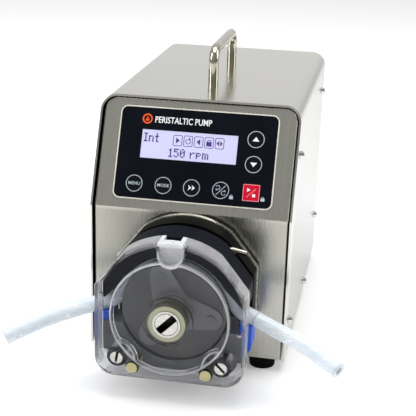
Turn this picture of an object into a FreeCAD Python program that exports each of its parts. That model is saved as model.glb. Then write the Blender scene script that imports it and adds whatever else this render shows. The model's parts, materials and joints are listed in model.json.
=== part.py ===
import FreeCAD, Part
import math
import os
import re
import Sketcher

# A bench-top peristaltic pump: a folded steel case with a sloped keypad, a geared motor
# inside it, and a pump head whose three rollers press a soft tube against a lifting jaw.
# +X is to the right, +Y to the back, +Z up. The origin is on the table, at the middle of
# the pump's footprint. Lengths are in millimetres.

doc = FreeCAD.newDocument("peristaltic_pump")
Vector = FreeCAD.Vector
X_AXIS = Vector(1, 0, 0)
Y_AXIS = Vector(0, 1, 0)
Z_AXIS = Vector(0, 0, 1)
NODES = []

# ---------------------------------------------------------------- driving dimensions

DIMENSIONS = (
    # case
    ("case_width", 153, "outside width of the wrap cover"),
    ("case_height", 192.8, "case without its feet"),
    ("case_depth", 256, "front edge to rear edge of the wrap cover"),
    ("foot_height", 10, "rubber foot"),
    ("bend_height", 114.3, "where the front starts to lean back"),
    ("front_setback", 36, "how far the front leans back at the top"),
    ("sheet_gauge", 1.5, "steel sheet"),
    ("panel_recess", 2.5, "front panel behind the wrap cover's edge"),
    ("panel_gap", 1.2, "gap between front panel and wrap cover"),
    ("panel_flange", 34, "depth of the front panel's side flanges"),
    ("rear_flange", 22, "depth of the rear panel's side flanges"),
    ("wrap_radius", 12, "outside bend of the wrap cover"),
    ("head_reach", 74.5, "how far the pump head stands ahead of the case"),
    ("rear_reach", 3.2, "how far the rear fittings stand behind the case"),
    ("side_reach", 2.6, "side screw heads"),
    ("screw_head", 3.5, "side screw head radius"),
    # handle and feet
    ("handle_bar", 4, "handle bar radius"),
    ("handle_rise", 32, "top of the handle above the case"),
    ("handle_front", 87, "front leg, behind the case's front edge"),
    ("handle_rear", 177, "rear leg, behind the case's front edge"),
    ("handle_bend", 10, "bend radius on the bar's centre line"),
    ("foot_radius", 11, "rubber foot radius"),
    ("foot_across", 58, "feet to each side of the middle"),
    ("foot_inset", 15, "feet from the front and rear edges"),
    # rear fittings
    ("inlet_x", -40, "middle of the mains inlet"),
    ("inlet_z", 52, "middle of the mains inlet's pins above the table"),
    ("switch_x", 2, "middle of the power switch"),
    ("switch_z", 60, "middle of the power switch above the table"),
    ("signal_x", 42, "middle of the signal socket"),
    ("signal_z", 60, "middle of the signal socket above the table"),
    # keypad, measured on the sloped panel from the bend
    ("pad_half", 60.7, "half width of the keypad"),
    ("pad_low", 7.5, "lower edge of the keypad"),
    ("pad_high", 78.7, "upper edge of the keypad"),
    ("pad_corner", 5.5, "corner radius of the keypad"),
    ("pad_rim", 0.9, "bright rim round the keypad"),
    ("pad_thick", 1, "keypad thickness"),
    ("glass_left", -42.7, "display window's left edge"),
    ("glass_right", 30.7, "display window's right edge"),
    ("glass_low", 39.3, "display window's lower edge"),
    ("glass_high", 61.1, "display window's upper edge"),
    ("key_radius", 6.5, "round key"),
    ("key_half", 6.3, "half side of the square key"),
    ("key_gap", 0.2, "gap round a key"),
    ("key_row", 19.4, "height of the lower row of keys"),
    ("key_travel", 0.4, "travel of a key"),
    # pump head, measured ahead of the case's front edge and from the rotor's axis
    ("axis_height", 67.8, "rotor axis above the table"),
    ("head_half", 53, "half width of the head"),
    ("shoulder", 20, "top of the head's upright sides above the axis"),
    ("crown_half", 33, "half width of the head's round top"),
    ("crown_radius", 56, "radius of the head's round top"),
    ("plate_back", 1, "back of the bright back plate"),
    ("body_back", 5, "back of the head body"),
    ("groove_back", 20, "back of the lever's groove"),
    ("groove_front", 25, "front of the lever's groove"),
    ("jaw_front", 50, "front of the jaw and the lower block"),
    ("cover_back", 50.3, "back edge of the clear cover"),
    ("cover_front", 66, "front face of the clear cover"),
    ("cover_wall", 2.4, "wall of the clear cover"),
    ("cover_grow", 1.5, "clear cover's outline outside the head's"),
    ("boss_front", 73.4, "front of the cover's shaft boss"),
    ("bed_radius", 41.6, "jaw's round bed"),
    ("roller_circle", 27.5, "roller centres from the rotor's axis"),
    ("roller_radius", 9.5, "roller"),
    ("block_half", 47.5, "half width of the lower block"),
    ("block_low", -47, "bottom of the lower block below the axis"),
    ("chamber_radius", 39.5, "rotor chamber in the lower block"),
    ("shaft_radius", 7, "rotor shaft inside the carriers"),
    ("stub_radius", 9.9, "front end of the rotor shaft"),
    ("running_gap", 0.05, "radial clearance of a shaft in its bearing"),
    ("screw_reach", 4.5, "cover screw head radius"),
    # tube
    ("tube_radius", 5.7, "outside radius of the soft tube"),
    ("tube_ahead", 37, "tube's centre ahead of the case's front edge"),
)

sheet = doc.addObject("Spreadsheet::Sheet", "Dims")
for row, (alias, number, note) in enumerate(DIMENSIONS, 1):
    sheet.set(f"A{row}", note)
    sheet.set(f"B{row}", str(number))
    sheet.setAlias(f"B{row}", alias)
doc.recompute()
ALIASES = {alias for alias, number, note in DIMENSIONS}


def bound(text):
    """The expression with each dimension's name pointed at the spreadsheet."""
    return re.sub(
        r"[a-z][a-z_]+",
        lambda word: "Dims." + word[0] if word[0] in ALIASES else word[0],
        str(text),
    )


def value(text):
    """The expression's number, now."""
    return float(sheet.evalExpression(bound(text)))


def bind(obj, **properties):
    """Bind properties to expressions; a double underscore stands for a dot."""
    for name, text in properties.items():
        obj.setExpression(name.replace("__", "."), bound(text))


# places that many pieces share, as expressions
FLOOR = "foot_height"
ROOF = "(foot_height + case_height)"
FRONT = "((head_reach - case_depth - rear_reach) / 2)"
REAR = f"({FRONT} + case_depth)"
LEAN = "(front_setback / (case_height - bend_height))"
LEAN_COS = f"(1 / sqrt(1 + {LEAN} ^ 2))"
LEAN_SIN = f"({LEAN} * {LEAN_COS})"
HALF_LEAN = f"((sqrt(1 + {LEAN} ^ 2) - 1) / {LEAN})"
PANEL_HALF = "(case_width / 2 - sheet_gauge - panel_gap)"
PANEL_TOP = f"({ROOF} - sheet_gauge - panel_gap)"


def bend_at(offset):
    """Height of the bend on the sheet face that lies this far behind the case's front."""
    return f"({FLOOR} + bend_height - ({offset}) * {HALF_LEAN})"


def slope_at(offset, height):
    """Distance behind the case's front edge of that sheet face, at a height on the slope."""
    return f"(({offset}) + (({height}) - {bend_at(offset)}) * {LEAN})"


# ---------------------------------------------------------------- sketch outlines


def pin(sketch, geometry, point, x=None, y=None):
    """Hold a sketch point at x and y, each an expression."""
    for kind, text in (("DistanceX", x), ("DistanceY", y)):
        if text is not None:
            rule = Sketcher.Constraint(kind, geometry, point, value(text))
            index = sketch.addConstraint(rule)
            sketch.setExpression(f"Constraints[{index}]", bound(text))


def polygon(*corners, arcs=None):
    """A closed outline. arcs gives the centre of each edge that is round, by the number
    of its first corner, and whether it turns counterclockwise."""
    arcs = arcs or {}
    count = len(corners)

    def draw(sketch):
        first = sketch.GeometryCount
        points = [Vector(value(x), value(y), 0) for x, y in corners]
        ends = []
        for i in range(count):
            start, end = points[i], points[(i + 1) % count]
            if i not in arcs:
                sketch.addGeometry(Part.LineSegment(start, end), False)
                ends.append((1, 2))
                continue
            (cx, cy), turns_left = arcs[i]
            centre = Vector(value(cx), value(cy), 0)
            if not turns_left:
                start, end = end, start
            angles = [math.atan2(p.y - centre.y, p.x - centre.x) for p in (start, end)]
            circle_of = Part.Circle(centre, Z_AXIS, (start - centre).Length)
            sketch.addGeometry(Part.ArcOfCircle(circle_of, *angles), False)
            ends.append((1, 2) if turns_left else (2, 1))
        for i in range(count):
            after = (i + 1) % count
            rule = Sketcher.Constraint(
                "Coincident", first + i, ends[i][1], first + after, ends[after][0]
            )
            sketch.addConstraint(rule)
        for i, (x, y) in enumerate(corners):
            before = (i - 1) % count
            if before in arcs:
                (cx, cy), _ = arcs[before]
                reach = points[i] - Vector(value(cx), value(cy), 0)
                x, y = (x, None) if abs(reach.x) < abs(reach.y) else (None, y)
            pin(sketch, first + i, ends[i][0], x, y)
        for i, ((cx, cy), _) in arcs.items():
            pin(sketch, first + i, 3, cx, cy)

    return draw


def rectangle(left, low, right, high):
    return polygon((left, low), (right, low), (right, high), (left, high))


def circle(x, y, radius):
    def draw(sketch):
        centre = Vector(value(x), value(y), 0)
        index = sketch.addGeometry(Part.Circle(centre, Z_AXIS, value(radius)), False)
        pin(sketch, index, 3, x, y)
        rule = sketch.addConstraint(Sketcher.Constraint("Radius", index, value(radius)))
        sketch.setExpression(f"Constraints[{rule}]", bound(radius))

    return draw


def soft_rectangle(left, low, right, high, radius):
    """A rectangle with round corners."""
    in_left, in_right = f"{left} + {radius}", f"{right} - ({radius})"
    in_low, in_high = f"{low} + {radius}", f"{high} - ({radius})"
    return polygon(
        (in_left, low),
        (in_right, low),
        (right, in_low),
        (right, in_high),
        (in_right, high),
        (in_left, high),
        (left, in_high),
        (left, in_low),
        arcs={
            1: ((in_right, in_low), True),
            3: ((in_right, in_high), True),
            5: ((in_left, in_high), True),
            7: ((in_left, in_low), True),
        },
    )


# ---------------------------------------------------------------- bodies and features


def new_body(name, y=FRONT, z="0"):
    """An empty body. Its sketches measure from the case's front edge unless told otherwise."""
    body = doc.addObject("PartDesign::Body", name)
    bind(body, Placement__Base__y=y, Placement__Base__z=z)
    return body


def slope_body(name):
    """An empty body whose XY plane is the sloped panel's face: y runs up the slope from
    the bend, z stands out of the panel."""
    body = doc.addObject("PartDesign::Body", name)
    lay_on_slope(body)
    return body


def lay_on_slope(obj):
    obj.Placement = FreeCAD.Placement(Vector(), FreeCAD.Rotation(X_AXIS, 45))
    bind(
        obj,
        Placement__Base__y=f"{FRONT} + panel_recess * {LEAN_COS}",
        Placement__Base__z=f"{FLOOR} + bend_height - panel_recess * {LEAN_SIN}",
        Placement__Rotation__Angle=f"90 deg - atan({LEAN})",
    )


def draw_on(body, plane, shapes, lift):
    """A sketch of the shapes on one of the body's own planes, lifted along its normal."""
    sketch = body.newObject("Sketcher::SketchObject", body.Name + "_sketch")
    origin = [part for part in body.Origin.OriginFeatures if part.Role == plane][0]
    sketch.AttachmentSupport = [(origin, "")]
    sketch.MapMode = "FlatFace"
    bind(sketch, AttachmentOffset__Base__z=lift)
    for shape in shapes:
        shape(sketch)
    return sketch


def feature(kind, body, plane, shapes, low, high):
    """A pad or pocket between two heights along the plane's normal."""
    before = body.Shape.Volume if body.Tip else 0
    step = body.newObject("PartDesign::" + kind, body.Name + "_" + kind.lower())
    step.Profile = draw_on(body, plane, shapes, low)
    step.Reversed = kind == "Pocket"
    bind(step, Length=f"({high}) - ({low})")
    doc.recompute()
    if abs(body.Shape.Volume - before) < 1e-3:
        raise RuntimeError(f"{step.Name} changes nothing")
    return body


def pad(body, plane, shapes, low, high):
    return feature("Pad", body, plane, shapes, low, high)


def pocket(body, plane, shapes, low, high):
    return feature("Pocket", body, plane, shapes, low, high)


def across(kind, body, shapes, width):
    """A pad or pocket on the YZ plane, to both sides of the middle."""
    step = body.newObject("PartDesign::" + kind, body.Name + "_" + kind.lower())
    step.Profile = draw_on(body, "YZ_Plane", shapes, "0")
    step.SideType = "Symmetric"
    bind(step, Length=width)
    doc.recompute()
    return body


def dress(kind, body, size, chosen):
    """A fillet or chamfer on the edges that chosen(edge) picks."""
    base = body.Tip
    names = [f"Edge{i}" for i, edge in enumerate(base.Shape.Edges, 1) if chosen(edge)]
    step = body.newObject("PartDesign::" + kind, body.Name + "_" + kind.lower())
    step.Base = (base, names)
    bind(step, **{"Radius" if kind == "Fillet" else "Size": size})
    doc.recompute()
    if "Invalid" in step.State or not names:
        raise RuntimeError(f"{step.Name} failed on {names}")
    return body


def keep(obj, label):
    """Count the object as a node of the pump."""
    obj.Label = label
    NODES.append(obj)
    return obj


# ---------------------------------------------------------------- primitives

TURNS = {
    "X": FreeCAD.Rotation(Y_AXIS, 90),
    "Y": FreeCAD.Rotation(X_AXIS, -90),
    "Z": FreeCAD.Rotation(),
}


def place(obj, at, along="Z"):
    obj.Placement = FreeCAD.Placement(Vector(), TURNS[along])
    bind(obj, Placement__Base__x=at[0], Placement__Base__y=at[1], Placement__Base__z=at[2])
    return obj


def box(name, size, at):
    solid = doc.addObject("Part::Box", name)
    bind(solid, Length=size[0], Width=size[1], Height=size[2])
    return place(solid, at)


def rod(name, radius, length, at, along="Z"):
    solid = doc.addObject("Part::Cylinder", name)
    bind(solid, Radius=radius, Height=length)
    return place(solid, at, along)


def taper(name, radii, length, at, along="Z"):
    solid = doc.addObject("Part::Cone", name)
    bind(solid, Radius1=radii[0], Radius2=radii[1], Height=length)
    return place(solid, at, along)


def fuse(name, pieces):
    solid = doc.addObject("Part::MultiFuse", name)
    solid.Shapes = pieces
    return solid


def cut(name, base, tools):
    solid = doc.addObject("Part::Cut", name)
    solid.Base = base
    solid.Tool = tools[0] if len(tools) == 1 else fuse(name + "_tools", tools)
    return solid


def group(name, pieces):
    """Several separate solids of one kind, as one node."""
    several = doc.addObject("Part::Compound", name)
    several.Links = pieces
    return several


def pan_screw(name, head_radius, head_height, shank_radius, shank, at, along, outward):
    """A round-headed screw with a cross recess. at is under the head's middle; outward
    is 1 when the head points along the axis and -1 when it points against it."""
    head_start = "0" if outward > 0 else f"-({head_height})"
    shank_start = f"-({shank})" if outward > 0 else "0"
    order = (head_radius, f"({head_radius}) * 0.72")
    shift = {"X": 0, "Y": 1, "Z": 2}[along]

    def moved(text):
        spot = list(at)
        spot[shift] = f"({at[shift]}) + ({text})"
        return spot

    head = taper(name + "_head", order[::outward], head_height, moved(head_start), along)
    stem = rod(name + "_shank", shank_radius, shank, moved(shank_start), along)
    depth = f"({head_height}) * 0.5"
    slot_start = depth if outward > 0 else f"-({head_height})"
    arms = []
    for wide, thin in ((1, 0), (0, 1)):
        spans = [f"({head_radius}) * {1.1 if wide else 0.28}"] * 3
        sides = [i for i in range(3) if i != shift]
        spans[sides[0]] = f"({head_radius}) * {1.1 if wide else 0.28}"
        spans[sides[1]] = f"({head_radius}) * {1.1 if thin else 0.28}"
        spans[shift] = depth
        spot = moved(slot_start)
        for side in sides:
            spot[side] = f"({at[side]}) - ({spans[side]}) / 2"
        arms.append(box(name + "_recess", spans, spot))
    return cut(name, fuse(name + "_blank", [head, stem]), arms)


# ---------------------------------------------------------------- case


def make_wrap_cover():
    body = new_body("wrap_cover_body")
    half, inner = "case_width / 2", "(case_width / 2 - sheet_gauge)"
    bend, inner_bend = "wrap_radius", "(wrap_radius - sheet_gauge)"
    left, right = f"-{half} + {bend}", f"{half} - {bend}"
    crown = f"{ROOF} - {bend}"
    pad(
        body,
        "XZ_Plane",
        [
            polygon(
                (f"-{half}", FLOOR),
                (f"-{inner}", FLOOR),
                (f"-{inner}", crown),
                (left, f"{ROOF} - sheet_gauge"),
                (right, f"{ROOF} - sheet_gauge"),
                (inner, crown),
                (inner, FLOOR),
                (half, FLOOR),
                (half, crown),
                (right, ROOF),
                (left, ROOF),
                (f"-{half}", crown),
                arcs={
                    2: ((left, crown), False),
                    4: ((right, crown), False),
                    8: ((right, crown), True),
                    10: ((left, crown), True),
                },
            )
        ],
        "-case_depth",
        "0",
    )
    spare = 5
    across(
        "Pocket",
        body,
        [
            polygon(
                ("0", bend_at("0")),
                ("front_setback", ROOF),
                ("front_setback", f"{ROOF} + {spare}"),
                (f"-{spare}", f"{ROOF} + {spare}"),
                (f"-{spare}", bend_at("0")),
            )
        ],
        f"case_width + {spare}",
    )
    holes = [
        rod(f"wrap_hole_{i}", "2.1", "sheet_gauge + 2", (x, y, z), "X")
        for i, (x, y, z) in enumerate(side_spots("sheet_gauge + 1"))
    ]
    holes += [
        rod(f"wrap_leg_hole_{i}", "2.7", "sheet_gauge + 2", ("0", y, f"{ROOF} - sheet_gauge - 1"))
        for i, y in enumerate(handle_legs())
    ]
    return keep(cut("wrap_cover_cut", body, holes), "wrap_cover")


SIDE_SCREWS = ((45, 153), (240, 160), (240, 38), (150, 6), (25, 25))


def side_spots(inset):
    """Where each side screw's hole starts: its low X end, its Y and its Z."""
    spots = []
    for side in (-1, 1):
        start = f"case_width / 2 - ({inset})" if side > 0 else "-case_width / 2 - 1"
        for back, up in SIDE_SCREWS:
            spots.append((start, f"{FRONT} + {back}", f"{FLOOR} + {up}"))
    return spots


def handle_legs():
    return [f"{FRONT} + handle_front", f"{FRONT} + handle_rear"]


def make_side_screws():
    screws = []
    for side in (-1, 1):
        for back, up in SIDE_SCREWS:
            at = (f"{side} * case_width / 2", f"{FRONT} + {back}", f"{FLOOR} + {up}")
            name = f"side_screw_{len(screws)}"
            screws.append(
                pan_screw(name, "screw_head", "side_reach", "1.9", "7", at, "X", side)
            )
    return keep(group("side_screw_group", screws), "side_screws")


def make_front_panel():
    """One folded sheet: upright below, sloped above, with flanges all round the back."""
    body = new_body("front_tray")
    back = "panel_recess + panel_flange"
    top_y = slope_at("panel_recess", PANEL_TOP)
    across(
        "Pad",
        body,
        [
            polygon(
                ("panel_recess", FLOOR),
                ("panel_recess", bend_at("panel_recess")),
                (top_y, PANEL_TOP),
                (f"{top_y} + panel_flange", PANEL_TOP),
                (back, bend_at("panel_recess")),
                (back, FLOOR),
            )
        ],
        f"2 * {PANEL_HALF}",
    )
    edge_x, top = value(PANEL_HALF), value(PANEL_TOP)

    def top_corner(edge):
        middle = edge.CenterOfMass
        return abs(abs(middle.x) - edge_x) < 0.01 and abs(middle.z - top) < 0.01

    dress("Fillet", body, "wrap_radius - sheet_gauge - panel_gap", top_corner)
    solid = body.Tip
    rear_faces = []
    for i, face in enumerate(solid.Shape.Faces, 1):
        normal = face.normalAt(0, 0)
        if normal.y > 0.5 and abs(normal.x) < 0.01:
            rear_faces.append(f"Face{i}")
    hollow = body.newObject("PartDesign::Thickness", "front_tray_hollow")
    hollow.Base = (solid, rear_faces)
    hollow.Reversed = True
    bind(hollow, Value="sheet_gauge")
    doc.recompute()
    face_y, bend = value("panel_recess"), value(bend_at("panel_recess"))

    def off_face(spot):
        return abs(spot.y - face_y - max(0, spot.z - bend) * value(LEAN))

    def front_edge(edge):
        middle = edge.valueAt((edge.FirstParameter + edge.LastParameter) / 2)
        spots = [vertex.Point for vertex in edge.Vertexes] + [middle]
        folded = abs(middle.x) < edge_x - 0.01 and abs(middle.z - bend) < 0.01
        return all(off_face(spot) < 0.01 for spot in spots) and not folded

    dress("Fillet", body, "1.2", front_edge)
    window = slope_body("panel_openings")
    loops = [rectangle("glass_left", "glass_low", "glass_right", "glass_high")]
    loops += [circle(x, y, "key_radius - 0.9") for x, y in ROUND_KEYS.values()]
    pad(window, "XY_Plane", loops + [circle(*SQUARE_KEY, "key_half - 1")], "-4", "1")
    shaft_hole = rod("panel_shaft_hole", "13", "12", ("0", f"{FRONT} - 2", "axis_height"), "Y")
    holes = [
        rod(f"panel_hole_{i}", "2.1", "8", (x, y, z), "X")
        for i, (x, y, z) in enumerate(side_spots("7"))
        if i % len(SIDE_SCREWS) in (0, 4)
    ]
    holes += foot_holes("panel", f"{FRONT} + foot_inset")
    return keep(cut("front_panel_cut", body, [window, shaft_hole] + holes), "front_panel")


def foot_holes(name, y):
    """Holes for the foot screws through a sheet's lower flange."""
    return [
        rod(f"{name}_foot_hole_{i}", "2", "6", (x, y, f"{FLOOR} - 2"))
        for i, x in enumerate(("-foot_across", "foot_across"))
    ]


def make_base_plate():
    start = f"{FRONT} + panel_recess + panel_flange + 0.2"
    length = "case_depth - panel_recess - panel_flange - rear_flange - 2"
    half = "(case_width / 2 - sheet_gauge)"
    width = f"2 * {half}"
    floor = box("base_floor", (width, length, "sheet_gauge"), (f"-{half}", start, FLOOR))
    sides = [
        box(f"base_side_{i}", ("sheet_gauge", length, "16"), (x, start, FLOOR))
        for i, x in enumerate((f"-{half}", f"{half} - sheet_gauge"))
    ]
    holes = [
        rod(f"base_hole_{i}", "2.1", "8", (x, y, z), "X")
        for i, (x, y, z) in enumerate(side_spots("7"))
        if i % len(SIDE_SCREWS) == 3
    ]
    plate = fuse("base_blank", [floor] + sides)
    return keep(cut("base_plate_cut", plate, holes), "base_plate")


VENT_ROWS = 5
VENT_PITCH = 8


def make_rear_panel():
    half = "(case_width / 2 - sheet_gauge)"
    inner = f"({half} - sheet_gauge)"
    top = f"{ROOF} - sheet_gauge - 0.3"
    radius = "(wrap_radius - sheet_gauge)"
    body = new_body("rear_tray")
    outline = polygon(
        (f"-{half}", FLOOR),
        (half, FLOOR),
        (half, f"{top} - {radius}"),
        (f"{half} - ({radius})", top),
        (f"-{half} + {radius}", top),
        (f"-{half}", f"{top} - ({radius})"),
        arcs={
            2: ((f"{half} - ({radius})", f"{top} - ({radius})"), True),
            4: ((f"-{half} + {radius}", f"{top} - ({radius})"), True),
        },
    )
    pad(body, "XZ_Plane", [outline], "1 - case_depth", "1 - case_depth + rear_flange")
    hollow = polygon(
        (f"-{inner}", f"{FLOOR} + sheet_gauge"),
        (inner, f"{FLOOR} + sheet_gauge"),
        (inner, f"{top} - {radius}"),
        (f"{half} - ({radius})", f"{top} - sheet_gauge"),
        (f"-{half} + {radius}", f"{top} - sheet_gauge"),
        (f"-{inner}", f"{top} - ({radius})"),
        arcs={
            2: ((f"{half} - ({radius})", f"{top} - ({radius})"), True),
            4: ((f"-{half} + {radius}", f"{top} - ({radius})"), True),
        },
    )
    pocket(
        body, "XZ_Plane", [hollow], "1 - case_depth + sheet_gauge", "2 - case_depth + rear_flange"
    )
    cuts = [rectangle("inlet_x - 13.6", "inlet_z - 10", "inlet_x + 13.6", "inlet_z + 28")]
    cuts += [rectangle("switch_x - 10", "switch_z - 6", "switch_x + 10", "switch_z + 6")]
    cuts += [rectangle("signal_x - 14", "signal_z - 5.5", "signal_x + 14", "signal_z + 5.5")]
    cuts += [circle(f"inlet_x + {x}", "inlet_z + 9", "1.6") for x in (-20, 20)]
    pocket(body, "XZ_Plane", cuts, "-case_depth", "3 - case_depth")
    low = f"{FLOOR} + 128"
    vent = soft_rectangle("-40", low, "40", f"{low} + 3", "1.4")
    pocket(body, "XZ_Plane", [vent], "-case_depth", "3 - case_depth")
    slot = body.Tip
    rows = body.newObject("PartDesign::LinearPattern", "vent_rows")
    rows.Originals = [slot]
    rows.Direction = (slot.Profile[0], ["V_Axis"])
    rows.Length = VENT_PITCH * (VENT_ROWS - 1)
    rows.Occurrences = VENT_ROWS
    body.Tip = rows
    doc.recompute()
    holes = [
        rod(f"rear_hole_{i}", "2.1", "8", (x, y, z), "X")
        for i, (x, y, z) in enumerate(side_spots("7"))
        if i % len(SIDE_SCREWS) in (1, 2)
    ]
    holes += foot_holes("rear", f"{REAR} - foot_inset")
    return keep(cut("rear_panel_cut", body, holes), "rear_panel")


def make_handle():
    """A round bar bent twice, with its legs standing on the case."""
    legs = handle_legs()
    rise = "handle_rise - handle_bar - handle_bend"
    high = f"{ROOF} + {rise}"
    pieces = []
    for i, y in enumerate(legs):
        pieces.append(rod(f"handle_leg_{i}", "handle_bar", rise, ("0", y, ROOF)))
        bend = doc.addObject("Part::Torus", f"handle_bend_{i}")
        bind(bend, Radius1="handle_bend", Radius2="handle_bar", Angle3="90")
        turn = FreeCAD.Rotation(Y_AXIS, -90)
        if i == 0:
            turn = FreeCAD.Rotation(X_AXIS, 90).multiply(turn)
        bend.Placement = FreeCAD.Placement(Vector(), turn)
        inward = "handle_bend" if i == 0 else "-handle_bend"
        bind(
            bend,
            Placement__Base__y=f"{y} + {inward}",
            Placement__Base__z=high,
        )
        pieces.append(bend)
    length = "handle_rear - handle_front - 2 * handle_bend"
    start = ("0", f"{legs[0]} + handle_bend", f"{high} + handle_bend")
    pieces.append(rod("handle_top", "handle_bar", length, start, "Y"))
    holes = [
        rod(f"handle_hole_{i}", "1.6", "10", ("0", y, ROOF)) for i, y in enumerate(legs)
    ]
    bar = fuse("handle_bar_blank", pieces)
    keep(cut("carry_handle_cut", bar, holes), "carry_handle")
    screws = []
    for i, y in enumerate(legs):
        at = ("0", y, f"{ROOF} - sheet_gauge")
        head = rod(f"handle_screw_head_{i}", "4.5", "3", at[:2] + (f"{ROOF} - sheet_gauge - 3",))
        stem = rod(f"handle_screw_stem_{i}", "1.6", "sheet_gauge + 9", at)
        screws.append(fuse(f"handle_screw_{i}", [head, stem]))
    keep(group("handle_screw_group", screws), "handle_screws")


def make_feet():
    feet, screws = [], []
    for x in ("-foot_across", "foot_across"):
        for y in (f"{FRONT} + foot_inset", f"{REAR} - foot_inset"):
            name = f"foot_{len(feet)}"
            pad_solid = taper(
                name, ("foot_radius - 1.2", "foot_radius"), "foot_height", (x, y, "0")
            )
            recess = rod(name + "_recess", "5", "5", (x, y, "-1"))
            hole = rod(name + "_hole", "2", "foot_height + 2", (x, y, "-1"))
            feet.append(cut(name + "_cut", pad_solid, [recess, hole]))
            head = rod(name + "_screw_head", "4", "2.6", (x, y, "1.4"))
            stem = rod(name + "_screw_stem", "2", "foot_height - 2.6", (x, y, "4"))
            slot = box(name + "_slot", ("9", "1", "1"), (f"{x} - 4.5", f"{y} - 0.5", "1"))
            screws.append(cut(name + "_screw", fuse(name + "_screw_blank", [head, stem]), [slot]))
    keep(group("foot_group", feet), "rubber_feet")
    keep(group("foot_screw_group", screws), "foot_screws")


# ---------------------------------------------------------------- keypad

ROUND_KEYS = {
    "key_menu": ("-44.7", "key_row"),
    "key_mode": ("-22.4", "key_row"),
    "key_fast": ("-0.7", "key_row"),
    "key_direction": ("21.4", "key_row"),
    "key_up": ("44.1", "59.4"),
    "key_down": ("44", "40.6"),
}
SQUARE_KEY = ("44.3", "key_row")


def around(spot, half):
    """A square outline about a spot."""
    x, y = spot
    return soft_rectangle(
        f"{x} - ({half})", f"{y} - ({half})", f"{x} + {half}", f"{y} + {half}", "0.8"
    )


def pad_outline(inset):
    return soft_rectangle(
        f"-(pad_half - {inset})",
        f"pad_low + {inset}",
        f"(pad_half - {inset})",
        f"pad_high - {inset}",
        f"(pad_corner - {inset})",
    )


def make_keypad():
    rim = slope_body("rim_body")
    pad(rim, "XY_Plane", [pad_outline("0"), pad_outline("pad_rim")], "0", "pad_thick")
    keep(rim, "keypad_rim")
    overlay = slope_body("overlay_body")
    window = rectangle("glass_left", "glass_low", "glass_right", "glass_high")
    openings = [circle(x, y, "key_radius + key_gap") for x, y in ROUND_KEYS.values()]
    openings += [around(SQUARE_KEY, "key_half + key_gap"), window]
    pad(overlay, "XY_Plane", [pad_outline("pad_rim")] + openings, "0", "pad_thick")
    keep(overlay, "keypad_overlay")
    glass = slope_body("glass_body")
    pad(glass, "XY_Plane", [window], "0.2", "pad_thick")
    keep(glass, "display_window")
    module = slope_body("module_body")
    pad(module, "XY_Plane", [window], "-4", "0")
    wide = rectangle("glass_left - 3", "glass_low - 4", "glass_right + 3", "glass_high + 4")
    pad(module, "XY_Plane", [wide], "-9", "-3.6")
    keep(module, "display_module")
    board = slope_body("board_body")
    pad(board, "XY_Plane", [rectangle("-56", "11", "56", "74")], "-14", "-12.4")
    switches = [circle(x, y, "3") for x, y in ROUND_KEYS.values()]
    pad(board, "XY_Plane", switches + [circle(*SQUARE_KEY, "3")], "-12.4", "-3")
    keep(board, "keypad_board")
    for name, spot in list(ROUND_KEYS.items()) + [("key_start_stop", SQUARE_KEY)]:
        key = slope_body(name + "_body")
        face = around(spot, "key_half") if spot == SQUARE_KEY else circle(*spot, "key_radius")
        pad(key, "XY_Plane", [face], "key_travel + 0.1", "pad_thick + 0.1")
        pad(key, "XY_Plane", [circle(*spot, "4.5")], "-3 + key_travel + 0.1", "key_travel + 0.1")
        keep(key, name)


# ---------------------------------------------------------------- rear fittings


ROCKER_TILT = -7  # degrees, with the switch off


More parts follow.
